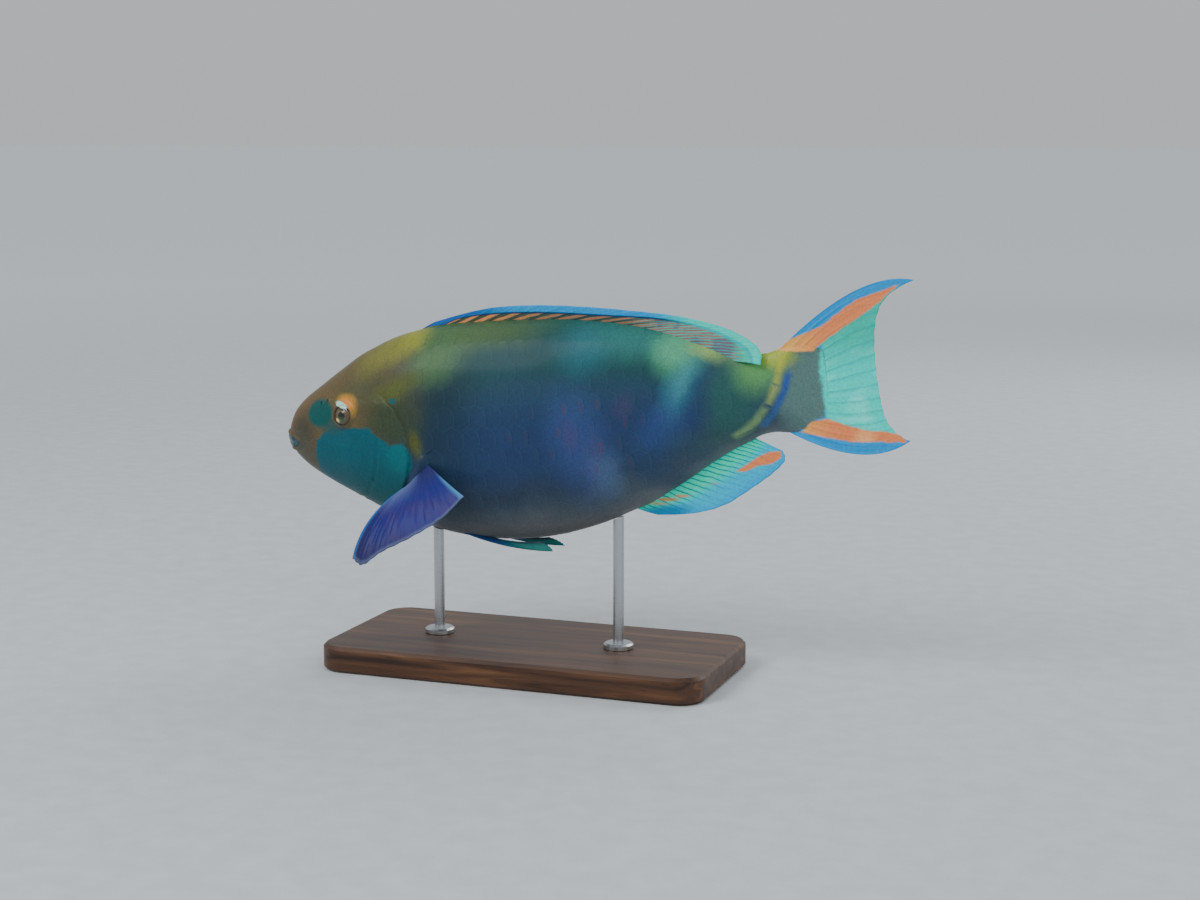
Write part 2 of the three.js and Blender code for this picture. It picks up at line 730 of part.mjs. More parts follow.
function rodGeometry(x) {
  const onBelly = new THREE.Vector3(x, 0, bellyAt(x)).applyMatrix4(fish.matrixWorld);
  const foot = BASE.thickness + GAP;
  const top = onBelly.z + 4 * ROD_RADIUS;
  const profile = [
    [0, foot],
    [ROD_FOOT.radius, foot],
    [ROD_FOOT.radius, foot + ROD_FOOT.height * 0.7],
    [ROD_FOOT.radius - 1.2, foot + ROD_FOOT.height],
    [ROD_RADIUS, foot + ROD_FOOT.height],
    [ROD_RADIUS, top],
    [0, top],
  ].map(([r, z]) => new THREE.Vector2(r, z));
  const rod = new THREE.LatheGeometry(profile, 20);
  rod.rotateX(Math.PI / 2);
  rod.translate(onBelly.x, 0, 0);
  return geometryOf(largest(solidOf(rod).subtract(bodyInWorld)));
}

const stand = new THREE.Group();
const base = new THREE.Mesh(baseGeometry(), materials.base);
base.name = "stand_base";
stand.add(base);
for (const [name, x] of Object.entries(ROD_X)) {
  const rod = new THREE.Mesh(rodGeometry(x), materials.rod);
  rod.name = "stand_rod_" + name;
  stand.add(rod);
}

const model = new THREE.Group();
model.add(fish, stand);
export default model;
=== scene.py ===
# The finish of a life-size display model of an adult male parrotfish on its stand.
import math

import bmesh
import bpy
import numpy as np
from bpy.props import FloatProperty, FloatVectorProperty, IntProperty, PointerProperty
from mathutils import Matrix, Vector


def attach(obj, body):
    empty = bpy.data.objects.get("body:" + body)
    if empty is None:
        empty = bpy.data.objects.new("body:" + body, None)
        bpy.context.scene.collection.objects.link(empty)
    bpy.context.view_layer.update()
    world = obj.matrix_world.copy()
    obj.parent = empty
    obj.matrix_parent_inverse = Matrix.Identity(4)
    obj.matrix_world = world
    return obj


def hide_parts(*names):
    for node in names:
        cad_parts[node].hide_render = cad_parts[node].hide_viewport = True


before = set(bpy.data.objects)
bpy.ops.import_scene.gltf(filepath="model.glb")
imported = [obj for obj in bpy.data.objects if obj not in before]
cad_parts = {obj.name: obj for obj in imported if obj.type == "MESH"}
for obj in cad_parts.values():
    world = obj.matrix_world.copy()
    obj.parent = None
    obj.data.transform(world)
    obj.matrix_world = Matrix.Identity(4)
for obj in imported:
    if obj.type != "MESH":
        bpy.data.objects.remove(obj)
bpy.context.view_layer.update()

bl_info = {
    "name": "Parrotfish display model",
    "version": (1, 0, 0),
    "blender": (4, 5, 0),
    "location": "View3D > Sidebar > Parrotfish",
    "description": "Skin, scales, fins, eyes and beak of a parrotfish model, with its stand",
    "category": "Add Mesh",
}

# The pose over the stand, as in the solids. In the fish's own frame x runs back from the snout and
# z up, in mm
PITCH = math.radians(6.8)
SNOUT_HEIGHT = 135
BALANCE_X = 165
MM = 0.001

# The body's sections from the snout back: x, top, bottom, half width, height of the widest point
SECTIONS = np.array([
    [1.8, -3.4, -3.4, 0.0, -3.4],
    [2.6, 2.2, -8.2, 4.6, -3.0],
    [5.0, 8.4, -12.0, 7.8, -2.4],
    [9.4, 15.2, -17.2, 11.2, -2.0],
    [17.0, 21.4, -24.0, 14.9, -1.8],
    [28.0, 27.8, -31.4, 18.3, -2.2],
    [43.0, 36.4, -40.6, 21.6, -3.2],
    [62.0, 46.4, -51.0, 24.9, -5.0],
    [85.0, 54.2, -61.9, 27.5, -7.0],
    [111.0, 57.1, -70.5, 28.8, -9.0],
    [140.0, 56.8, -74.8, 28.8, -10.0],
    [170.0, 55.3, -74.5, 27.6, -10.0],
    [200.0, 52.4, -69.0, 24.6, -9.0],
    [227.0, 47.6, -59.8, 20.7, -7.0],
    [252.0, 40.3, -47.8, 16.4, -5.0],
    [274.0, 32.2, -35.5, 12.6, -2.5],
    [293.0, 26.2, -26.7, 9.7, -0.5],
    [309.0, 24.3, -22.1, 7.5, 1.0],
    [322.0, 27.0, -22.9, 5.7, 1.5],
    [334.0, 27.2, -21.2, 3.5, 2.0],
    [344.0, 23.6, -16.6, 1.8, 2.5],
])
# The section before the first, from which the snout's curve comes
SECTION_BEFORE = np.array([2.6, -8.2, 2.2, -4.6, -3.0])
LAST_SECTION = len(SECTIONS) - 1
UPPER_ROUNDNESS = 1.88
LOWER_ROUNDNESS = 2.06
# Over this stretch the end of the stem loses half its width
STEM_THINNED = (318, 343)
STEM_THINNING = 0.5

# The mouth, eyes, nostrils and gill covers; a lip has the height of its middle and its half thickness
MOUTH_HEIGHT = -4.2
MOUTH_DROOP = 0.16
MOUTH_CORNER_X = 12.5
UPPER_BEAK_HEIGHT = 4.6
LOWER_BEAK_HEIGHT = 3.8
UPPER_LIP = (5.8, 2.1)
LOWER_LIP = (-4.7, 1.8)
LIPS_FROM_X = 2.2
BEAK_FROM_X = 2.4
MOUTH_HOLLOW = 3.4
EYE = (49.9, 9.7)
EYE_RADIUS = 6.9
EYE_DEPTH = 4.6
EYE_SUNK = 2.2
EYE_OPENING = 5.9
EYE_SOCKET = 3.2
# Round the eye a rim and a furrow: height, radius and width of each
EYE_RINGS = ((1.0, 7.1, 1.2), (-0.2, 9.4, 1.2))
NOSTRILS = ((33.2, 17.6, 1.2), (37.8, 18.6, 1.5))
NOSTRIL_DEPTH = 0.7
COVER_PROUD = 1.7
COVER_SLIT = 0.8
COVER_HIND_EDGE = [
    (80, 18), (87, 12), (91.5, 2), (94, -9), (93.6, -20), (90, -31), (83, -41), (73, -50),
    (60, -60),
]
COVER_FRONT_EDGE = [(72, 14), (73, 2), (72, -12), (67, -28), (58, -38), (46, -44)]
# Along the front edge a furrow with a swelling on both sides: height, distance and width of each
COVER_FOLDS = ((-0.4, 0, 0.9), (0.2, 2.2, 1.2))
# The muscle under the cheek and the shoulder under the pectoral fin's root
CHEEK_MIDDLE = (54, -16)
CHEEK_RADIUS = 15
CHEEK_PROUD = 0.8
SHOULDER_RADIUS = 4.0
SHOULDER_PROUD = 2.6
# The ridges under the dorsal and anal fins: where each starts, is full, fades and ends
FIN_RIDGE_PROUD = 0.9
FIN_RIDGE_WIDTH = 2.2
BACK_RIDGE = (96, 106, 286, 296)
BELLY_RIDGE = (220, 230, 296, 304)
SCALED_FROM = [
    (70, 70), (65, 46), (61, 33), (63, 20), (59, 3), (47, -3), (39, -8), (35, -18), (38, -30),
    (46, -42), (52, -70),
]
# The skin lies lower under the coat, from this far outside the scaled part to this far inside it
COAT_EDGE = (-10, 4)
CHEEK_PATCH = [
    (28.5, -4.1), (34.7, 0.4), (40.6, 3.3), (47, 2.4), (54.2, 2.3), (63.1, 1.7), (69.4, 2.1),
    (71.4, -2.9), (77.3, -5.8), (82.1, -10.2), (90, -8.3), (93.6, -12.4), (95.5, -18.1),
    (94, -25.4), (87, -35), (74, -48), (66, -80), (20, -80), (24, -22), (25.5, -12),
]

# The skin's first grid, how often its edges may be cut, and their greatest lengths in mm. A length
# holds up to an x for the head and the mouth, and up to a distance from the other features
SKIN_COLUMNS = 168
SKIN_ROWS = 120
SKIN_ROUNDS = 4
BODY_EDGE = 5.0
HEAD_EDGE, HEAD_END_X = 2.0, 100
SHOULDER_EDGE, SHOULDER_REACH = 1.2, 9
FOLD_EDGE, FOLD_REACH = 1.1, 3
EYE_EDGE, EYE_REACH = 0.9, 14
COVER_EDGE, COVER_REACH = 0.7, 2.4
MOUTH_EDGE, MOUTH_END_X = 0.6, 19
EYE_RIM_EDGE, EYE_RIM_START, EYE_RIM_END = 0.5, 4.4, 9.5
NOSTRIL_EDGE, NOSTRIL_REACH = 0.35, 1.4
# The share of the flat grid that covers the body; the rest closes the end of the stem
BODY_SHARE = 0.985

# The fins, as in the solids
ROOT_SUNK = 5
WEB_HALF = 0.27
RIB_ROOT_HALF = 0.95
RIB_TIP_HALF = 0.42
RAY_ROOT_WIDTH = 0.75
RAY_TIP_WIDTH = 0.34
RAY_FORK = 0.17
WEB_RIPPLE = 0.16
# Between two rays the web ends short by this share of their length
WEB_NICK = 0.008
DORSAL_SPINES = 9
DORSAL_RAYS = 19
DORSAL_BASE = (94, 288)
DORSAL_MARGIN = [
    (108, 0, 59.5), (127, 0, 62.7), (147, 0, 64.7), (169, 0, 64.0), (192, 0, 61.7), (215, 0, 58.3),
    (238, 0, 54.1), (258, 0, 50.2), (274, 0, 45.6), (289, 0, 40.2), (301, 0, 33.6),
    (309.5, 0, 26.0), (309.5, 0, 18.2),
]
DORSAL_DRAPE_FROM = 0.62
DORSAL_DRAPE_REACH = 9.5
ANAL_SPINES = 3
ANAL_RAYS = 12
ANAL_BASE = (221, 297)
ANAL_MARGIN = [
    (236, 0, -65.2), (257, 0, -65.6), (277, 0, -61.8), (295, 0, -52.6), (308, 0, -44.8),
    (315.6, 0, -38), (314.6, 0, -32.4),
]
CAUDAL_RAYS = 15
CAUDAL_MARGIN = [
    (399, 0, 57.2), (385.0, 0, 51.0), (377.8, 0, 42.5), (374.6, 0, 32.5), (373.4, 0, 21.0),
    (373.1, 0, 9.5), (373.6, 0, -2.0), (374.6, 0, -12.0), (376.6, 0, -20.0), (381.5, 0, -27.0),
    (388.6, 0, -31.8),
]
# The roots of its rays: the middle one's x, how far the outer ones lie before it, their top and span
CAUDAL_ROOTS = (326, 7, 25.4, 46.8)
CAUDAL_BOW_UPPER = 21.2
CAUDAL_BOW_LOWER = 19.8
PECTORAL_RAYS = 13
PECTORAL_MARGIN = [
    (65.5, 62, -71), (71, 61, -75.6), (83, 58.5, -69), (101, 55, -62), (119.5, 50, -53),
    (133.5, 44, -41),
]
PECTORAL_LEADING_ROOT = (93.5, -33)
PECTORAL_TRAILING_ROOT = (102, -20.5)
PECTORAL_BASE = [PECTORAL_LEADING_ROOT, PECTORAL_TRAILING_ROOT]
PECTORAL_BOW_FORWARD = 6
PECTORAL_BOW_UP = 12
PECTORAL_ROOT_HALF = 0.36
PELVIC_SPINES = 1
PELVIC_RAYS = 6
PELVIC_ROOT_HALF = 0.8
# The first ray's root and tip, and from them to the last ray's
PELVIC_ROOT, PELVIC_ROOTS_RUN = np.array([[112, 8.5, -66.5], [4.5, -4, -0.6]])
PELVIC_TIP, PELVIC_TIPS_RUN = np.array([[171, 9.5, -82], [-8, -3, 6]])
PELVIC_BOW_OUT = 1.4
PELVIC_BOW_DOWN = 5.5

# The outlines of markings, in x and z: the tail fin's bands, root and web, and the anal fin's patch
CAUDAL_ORANGE = [
    [(310, 27), (321.7, 29.5), (343.7, 36.5), (364.3, 49.2), (379.8, 53.2), (391, 56), (379.2, 47.1),
     (371, 42), (359, 35.4), (346.9, 28.9), (338, 22.5), (324, 23.5)],
    [(325.8, -22.5), (341.1, -26.9), (356.2, -30.2), (371.5, -31.4), (387, -32.4), (383.3, -27.5),
     (375.8, -25.5), (364.6, -23.9), (353.4, -20.1), (343.1, -15.6), (334, -17)],
]
CAUDAL_ROOT = [
    (296, 24), (324, 23.5), (338, 22.5), (343.4, 25.4), (341.7, 11.8), (342.8, -5.3),
    (343.1, -15.6), (334, -17), (325.8, -22.5), (296, -24),
]
CAUDAL_TEAL = [
    (342.4, 27.4), (340.7, 11.8), (341.8, -5.3), (342.1, -18.6), (353.4, -23.5), (364.6, -27),
    (383.3, -29.5), (392, -29), (392, 55), (389, 54.4), (379.2, 49.8), (371, 45), (359, 38.5),
    (346.9, 32),
]
ANAL_ORANGE = [
    (285, -42.8), (292.1, -39.2), (299.7, -34.9), (306.6, -32.4), (314, -32.4), (313.6, -36.5),
    (307.3, -39.7), (299.1, -40.3), (291.7, -43.1),
]
# The two thin lines down the tail stem
PALE_LINE = [
    (322, 25), (320.5, 21), (318.5, 14), (315.8, 4), (309.6, -5.9), (303.2, -13.2), (297, -18),
    (290, -21),
]
BLUE_LINE = [(323.5, 11), (321, 2.8), (317.4, -4), (312.6, -11), (306.5, -16.5)]

# The coat: a scale's length in pitches, its width in row spacings, and how far the rows reach, in mm
SEED = 7
SCALE_LENGTH = 1.5
SCALE_WIDTH = 1.28
ROWS_REACH = 110
COLUMNS_REACH = 320
FIRST_ROOT_X = 26
LAST_TIP_X = 340
LAST_COVER_TIP_X = 100
EYE_CLEARANCE = 10.5
# The unwrap that the bake uses is this long, in mm, and a scale's patch has this size on it
UNWRAP_LENGTH = 350
UNWRAP_PATCH = 0.003
# How far along a scale its middle lies, and the point whose paint it takes
SCALE_MIDDLE = 0.62
SCALE_PAINT = 0.68

# The stage, in metres; each lamp has a name, a place, a size and a power
FLOOR_HALF = 40
LAMPS = (
    ("key", (-0.9, -1.3, 1.5), 0.9, 20),
    ("fill", (1.4, -1.1, 0.8), 1.4, 7),
    ("rim", (0.6, 1.3, 1.2), 1.0, 9),
)
LAMPS_AIM = (0, 0, 0.14)
CAMERA_LENS = 61.33
CAMERA_AZIMUTH = 20
CAMERA_ELEVATION = 8
CAMERA_DISTANCE = 1.2
CAMERA_TARGET = (0.04175, 0, 0.15242)
# The target stands this far above the middle of the picture, as a share of its distance
CAMERA_TILT = 30 / 2044.465


def linear(code):
    """The linear colour, with alpha, of an sRGB hex code."""
    parts = [int(code[i:i + 2], 16) / 255 for i in (0, 2, 4)]
    return (*[c / 12.92 if c <= 0.04045 else ((c + 0.055) / 1.055) ** 2.4 for c in parts], 1.0)


def blended(a, b, share):
    return a + (b - a) * share


def eased(value, start, end):
    """0 before start and 1 after end, with a smooth rise between them."""
    t = np.clip((value - start) / (end - start), 0, 1)
    return t * t * (3 - 2 * t)


def span(value, start, full, fading, end):
    """1 from full to fading, with a smooth rise from start and a smooth fall to end."""
    return eased(value, start, full) * (1 - eased(value, fading, end))


def ridge(value, centre, width):
    """1 at the centre, with a bell's fall to both sides."""
    return np.exp(-(((value - centre) / width) ** 2))


def folded(out, distance, folds):
    """A relief with folds laid over it, each with its height, its distance and its width."""
    for height, centre, width in folds:
        out = out + height * ridge(distance, centre, width)
    return out


def smooth(stops, t, before=None):
    """Smooth values between evenly numbered stops, for places t from 0 to the last stop."""
    stops = np.asarray(stops, float)
    t = np.asarray(t, float)
    last = len(stops) - 1
    i = np.clip(np.floor(t).astype(int), 0, last - 1)
    f = (t - i).reshape(t.shape + (1,) * (stops.ndim - 1))
    first = 2 * stops[0] - stops[1] if before is None else before
    padded = np.concatenate([[first], stops, [2 * stops[-1] - stops[-2]]])
    p0, p1, p2, p3 = (padded[i + k] for k in range(4))
    bend = 2 * p0 - 5 * p1 + 4 * p2 - p3
    twist = 3 * (p1 - p2) + p3 - p0
    return p1 + 0.5 * f * (p2 - p0 + f * (bend + f * twist))


def section(s):
    """The x, top, bottom, half width and waist height of the body at place s."""
    x, top, bottom, half, waist = np.moveaxis(smooth(SECTIONS, s, SECTION_BEFORE), -1, 0)
    return x, top, bottom, np.maximum(half, 0), waist


PLACES = np.linspace(0, LAST_SECTION, 4001)
PLACE_X = section(PLACES)[0]


def place_of(x):
    """The place along the sections, from 0 at the first, where the body reaches x."""
    return np.interp(x, PLACE_X, PLACES)


def back_at(x):
    return section(place_of(x))[1]


def belly_at(x):
    return section(place_of(x))[2]


def skin_point(s, a):
    """Points of the body at places s and angles a, 0 on the right and a quarter turn at the back."""
    x, top, bottom, half, waist = section(s)
    c, h = np.cos(a), np.sin(a)
    power = np.where(h > 0, 2 / UPPER_ROUNDNESS, 2 / LOWER_ROUNDNESS)
    rise = np.where(h > 0, top - waist, waist - bottom)
    y = half * np.sign(c) * np.abs(c) ** power
    z = waist + rise * np.sign(h) * np.abs(h) ** power
    return np.stack(np.broadcast_arrays(x, y, z), -1)


def thinned(points):
    """Points of the skin or the coat, drawn in towards the tail fin's rays at the end of the stem."""
    points[..., 1] *= 1 - STEM_THINNING * eased(points[..., 0], *STEM_THINNED)
    return points


def unit(vectors):
    return vectors / np.maximum(np.linalg.norm(vectors, axis=-1, keepdims=True), 1e-9)


def skin_normal(s, a):
    """The way out of the body at places s and angles a."""
    step = 0.02
    s = np.clip(s, step, LAST_SECTION - step)
    along = skin_point(s + step, a) - skin_point(s - step, a)
    around = skin_point(s, a + step) - skin_point(s, a - step)
    return unit(np.cross(around, along))


def share_of_height(x, z):
    """1 at the back, 0 at the widest point and -1 at the belly, for a point at x and z."""
    _, top, bottom, _, waist = section(place_of(x))
    return (z - waist) / np.maximum(np.where(z > waist, top - waist, waist - bottom), 1e-9)


def angle_of(x, z, side=1):
    """The angle at which the body at x has height z, on the right for side 1, the left for side -1."""
    share = share_of_height(x, z)
    power = np.where(share > 0, UPPER_ROUNDNESS, LOWER_ROUNDNESS) / 2
    a = np.arcsin(np.clip(np.abs(share), 0, 1) ** power) * np.sign(share)
    return a if side > 0 else np.pi - a


def side_spot(x, z, side=1):
    """The point of the body's side at x and z, and the way out of the skin there."""
    s, a = place_of(x), angle_of(x, z, side)
    return skin_point(s, a), skin_normal(s, a)


def to_world(p):
    """Metres in the part's frame, from millimetres in the fish's own frame."""
    c, s = math.cos(PITCH), math.sin(PITCH)
    x = p[..., 0] * c - p[..., 2] * s - BALANCE_X * c
    z = p[..., 0] * s + p[..., 2] * c + SNOUT_HEIGHT
    return np.stack([x, p[..., 1], z], -1) * MM


def segment_distance(p, a, b):
    """How far points lie from the nearest of the segments from a to b, in x and z."""
    along = b - a
    t = np.clip(((p - a) * along).sum(-1) / (along ** 2).sum(-1), 0, 1)
    return np.linalg.norm(p - a - t[..., None] * along, axis=-1).min(-1)


def line_distance(points, line):
    """How far x and z points lie from an open line, in mm."""
    a = np.asarray(line, float)
    return segment_distance(np.asarray(points, float)[..., None, :], a[:-1], a[1:])


def inside(points, outline):
    """How far x and z points lie inside a closed outline, in mm, below 0 outside it."""
    a = np.asarray(outline, float)
    b = np.roll(a, -1, 0)
    p = np.asarray(points, float)[..., None, :]
    distance = segment_distance(p, a, b)
    px, pz = p[..., 0], p[..., 1]
    spans = (a[:, 1] > pz) != (b[:, 1] > pz)
    rise = np.where(b[:, 1] == a[:, 1], 1, b[:, 1] - a[:, 1])
    crossed = spans & (px < a[:, 0] + (pz - a[:, 1]) * (b - a)[:, 0] / rise)
    return np.where(crossed.sum(-1) % 2 == 1, distance, -distance)


# The closed outlines of the gill cover and of the scaled part, and the middles of the right eye and
# nostrils
COVER = COVER_HIND_EDGE + [(40, -80), (-40, -80), (-40, 60), (60, 60), (70, 24)]
SCALED = SCALED_FROM + [(400, -120), (400, 120)]
EYE_SPOT = side_spot(*EYE)[0]
NOSTRIL_SPOTS = [(side_spot(x, z)[0], radius) for x, z, radius in NOSTRILS]


def mouth_relief(x, z):
    """The lips, the fold behind them and the hollow that holds the beak."""
    over = z - (MOUTH_HEIGHT - MOUTH_DROOP * np.maximum(x, 0))
    share = np.clip((x - LIPS_FROM_X) / (MOUTH_CORNER_X + 2.5 - LIPS_FROM_X), 0, 1)
    near = 1 - eased(x, MOUTH_CORNER_X + 2, MOUTH_CORNER_X + 4)
    out = 0
    edges = []
    for height, radius in (UPPER_LIP, LOWER_LIP):
        centre = height * (1 - 0.75 * share ** 1.5)
        thick = radius * (1 - 0.5 * share)
        off = over - centre
        out = out + 0.5 * thick * np.maximum(1 - (off / thick) ** 2, 0) * near
        behind = np.sign(off) == np.sign(height)
        out = out - 0.3 * ridge(np.abs(off), thick + 0.8, 0.7) * behind * near
        edges.append(centre - math.copysign(0.55, height) * thick)
    hollow = span(over, edges[1], edges[1] + 0.8, edges[0] - 0.8, edges[0])
    return out - MOUTH_HOLLOW * hollow * (1 - eased(x, MOUTH_CORNER_X - 0.5, MOUTH_CORNER_X + 1.5))


def cover_relief(xz, y):
    """The gill cover, which stands proud and ends in a free edge over a slit."""
    depth = inside(xz, COVER)
    fade = (1 - eased(xz[..., 1], 13, 21)) * eased(y, 2, 7)
    rise = COVER_PROUD * np.exp(-np.maximum(depth, 0) / 18) * eased(depth, 0, 0.9)
    return fade * (rise - COVER_SLIT * ridge(depth, -0.7, 0.8))


def on_right(points):
    """The x, y and z of points mirrored to the right side, with the points and their x and z."""
    x, y, z = points[..., 0], np.abs(points[..., 1]), points[..., 2]
    return x, y, z, np.stack([x, y, z], -1), np.stack([x, z], -1)


def relief(points, with_cover=True):
    """How far the skin stands out from the smooth body, in mm."""
    x, y, z, right, xz = on_right(points)
    coat_depth = bpy.context.scene.parrotfish_coat.depth / MM
    out = -coat_depth * eased(inside(xz, SCALED), *COAT_EDGE)
    r = np.linalg.norm(right - EYE_SPOT, axis=-1)
    out = folded(out, r, EYE_RINGS)
    out = out - EYE_SOCKET * (1 - eased(r, EYE_OPENING - 1.2, EYE_OPENING))
    for spot, radius in NOSTRIL_SPOTS:
        r = np.linalg.norm(right - spot, axis=-1)
        bore = 1 - eased(r, radius * 0.4, radius * 0.9)
        out = out + 0.35 * ridge(r, radius, 0.5) - NOSTRIL_DEPTH * bore
    out = out + np.where(x < MOUTH_CORNER_X + 5, mouth_relief(x, z), 0)
    if with_cover:
        out = out + cover_relief(xz, y)
    out = folded(out, line_distance(xz, COVER_FRONT_EDGE), COVER_FOLDS)
    cheek = np.hypot(x - CHEEK_MIDDLE[0], z - CHEEK_MIDDLE[1])
    out = out + CHEEK_PROUD * ridge(cheek, 0, CHEEK_RADIUS)
    out = out + SHOULDER_PROUD * ridge(line_distance(xz, PECTORAL_BASE), 0, SHOULDER_RADIUS)
    along = span(x, *BACK_RIDGE) * (z > 0) + span(x, *BELLY_RIDGE) * (z < 0)
    return out + FIN_RIDGE_PROUD * ridge(y, 0, FIN_RIDGE_WIDTH) * along


def wanted_edge(points):
    """How long the skin's mesh edges may be at a point, in mm."""
    x, _, z, right, xz = on_right(points)
    size = np.where(x < HEAD_END_X, HEAD_EDGE, BODY_EDGE)
    r = np.linalg.norm(right - EYE_SPOT, axis=-1)
    size = np.where(r < EYE_REACH, EYE_EDGE, size)
    size = np.where((r > EYE_RIM_START) & (r < EYE_RIM_END), EYE_RIM_EDGE, size)
    size = np.where((x < MOUTH_END_X) & (z > -20) & (z < 8), MOUTH_EDGE, size)
    size = np.where((np.abs(inside(xz, COVER)) < COVER_REACH) & (z < 20), COVER_EDGE, size)
    fold = line_distance(xz, COVER_FRONT_EDGE) < FOLD_REACH
    size = np.where(fold, np.minimum(size, FOLD_EDGE), size)
    size = np.where(line_distance(xz, PECTORAL_BASE) < SHOULDER_REACH, SHOULDER_EDGE, size)
    for spot, radius in NOSTRIL_SPOTS:
        near = np.linalg.norm(right - spot, axis=-1) < radius + NOSTRIL_REACH
        size = np.where(near, NOSTRIL_EDGE, size)
    return size


# Mesh making
def flat_grid(columns, rows):
    """A flat grid from 0 to 1 in x and y, whose corners are later laid on a curved form."""
    bm = bmesh.new()
    bmesh.ops.create_grid(bm, x_segments=columns, y_segments=rows, size=0.5)
    bmesh.ops.translate(bm, verts=bm.verts[:], vec=(0.5, 0.5, 0))
    return bm


def flat_slab(columns, rows):
    """A closed slab from 0 to 1 in x and y, with its two faces at 1 and -1 in z."""
    bm = flat_grid(columns, rows)
    bmesh.ops.translate(bm, verts=bm.verts[:], vec=(0, 0, 1))
    made = bmesh.ops.duplicate(bm, geom=bm.verts[:] + bm.edges[:] + bm.faces[:])["geom"]
    verts = [g for g in made if isinstance(g, bmesh.types.BMVert)]
    faces = [g for g in made if isinstance(g, bmesh.types.BMFace)]
    bmesh.ops.translate(bm, verts=verts, vec=(0, 0, -2))
    bmesh.ops.reverse_faces(bm, faces=faces)
    bmesh.ops.bridge_loops(bm, edges=[e for e in bm.edges if e.is_boundary])
    return bm


def in_one_order(bm):
    """Sorts a bmesh's faces by the numbers of their corners, so that each run gives the same mesh."""
    bm.verts.index_update()
    corners = len(bm.verts)

    def number(face):
        return sum(n * corners ** k for k, n in enumerate(sorted(vert.index for vert in face.verts)))

    bm.faces.sort(key=number)


def flat_points(bm):
    return np.array([v.co for v in bm.verts])


def laid_out(bm, points):
    """Moves a bmesh's corners to points given in the fish's own frame."""
    for vert, point in zip(bm.verts, to_world(points)):
        vert.co = point


def finished(name, bm, material, replaces, marks=None, weld=1e-6):
    """An object made from a bmesh, whose corners that meet are joined."""
    if weld:
        bmesh.ops.remove_doubles(bm, verts=bm.verts[:], dist=weld)
    bmesh.ops.recalc_face_normals(bm, faces=bm.faces[:])
    mesh = bpy.data.meshes.new(name)
    bm.to_mesh(mesh)
    bm.free()
    return object_of(name, mesh, material, replaces, marks)


def object_of(name, mesh, material, replaces, marks=None):
    """A smooth object of a mesh, which carries its marks and rides on the frame."""
    for key, values in (marks or {}).items():
        add_attribute(mesh, key, values)
    mesh.polygons.foreach_set("use_smooth", [True] * len(mesh.polygons))
    mesh.materials.append(material)
    piece = bpy.data.objects.new(name, mesh)
    bpy.context.scene.collection.objects.link(piece)
    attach(piece, "root")
    if replaces:
        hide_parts(*replaces)
    return piece


def add_attribute(mesh, name, values):
    """Numbers or vectors at a mesh's corners, for its material to read."""
    values = np.asarray(values, np.float32)
    kind = "FLOAT_VECTOR" if values.ndim == 2 else "FLOAT"
    attribute = mesh.attributes.new(name, kind, "POINT")
    attribute.data.foreach_set("vector" if values.ndim == 2 else "value", values.ravel())


def body_marks(points):
    """What the skin and the coat read for their colours: place, height, distance from each marking."""
    xz = points[..., [0, 2]]
    return {
        "fish_at": points,
        "height_share": share_of_height(xz[..., 0], xz[..., 1]),
        "cheek_edge": inside(xz, CHEEK_PATCH),
        "orange_edge": np.max([inside(xz, band) for band in CAUDAL_ORANGE], axis=0),
        "teal_edge": inside(xz, CAUDAL_TEAL),
        "pale_line": line_distance(xz, PALE_LINE),
        "blue_line": line_distance(xz, BLUE_LINE),
    }


# Node making
def node(tree, kind, inputs=(), out=0, **settings):
    """Adds a shader node with its settings, sets or links its inputs, and gives one of its outputs."""
    made = tree.nodes.new("ShaderNode" + kind)
    for key, value in settings.items():
        setattr(made, key, value)
    for key, value in inputs.items() if isinstance(inputs, dict) else enumerate(inputs):
        if isinstance(value, bpy.types.NodeSocket):
            tree.links.new(value, made.inputs[key])
        else:
            made.inputs[key].default_value = value
    return made.outputs[out]


def paint_of(code):
    """The linear colour of a paint in the panel, or of an sRGB hex code."""
    paints = bpy.context.scene.parrotfish_paints
    return (*getattr(paints, code), 1.0) if hasattr(paints, code) else linear(code)


def painted(tree, under, over, value, start, end, most=1.0):
    """A paint laid over another where a value passes from start to end, with a soft edge."""
    share = node(tree, "MapRange", (value, start, end, 0.0, most), interpolation_type="SMOOTHSTEP")
    under, over = (paint_of(p) if isinstance(p, str) else p for p in (under, over))
    return node(tree, "Mix", {0: share, 6: under, 7: over}, 2, data_type="RGBA")


def layered(tree, colour, *layers):
    """Paints laid over a colour one after another, each with what painted takes after its paint."""
    for over, *edge in layers:
        colour = painted(tree, colour, over, *edge)
    return colour


def toned(tree, colour, field, low, high):
    """A colour made darker and lighter by a noise."""
    tone = node(tree, "MapRange", (field, 0.3, 0.7, low, high), interpolation_type="SMOOTHSTEP")
    return node(tree, "VectorMath", {0: colour, "Scale": tone}, operation="SCALE")


def oval_share(tree, at, centre, radii, turn=0):
    """How far out a point is in an oval of x and z: 0 at its centre and 1 on its edge."""
    placed = node(tree, "Mapping", (at, (centre[0], 0, centre[1]), (0, math.radians(turn), 0),
                                    (radii[0], THROUGH, radii[1])), vector_type="TEXTURE")
    return node(tree, "VectorMath", (placed,), "Value", operation="LENGTH")


def spotted(tree, colour, at, *spots):
    """Oval spots of paint on the fish's side: paint, centre, radii, turn, softness, strength."""
    for paint, centre, radii, turn, softness, strength in spots:
        share = oval_share(tree, at, centre, radii, turn)
        colour = painted(tree, colour, paint, share, 1 + softness, 1 - softness, strength)
    return colour


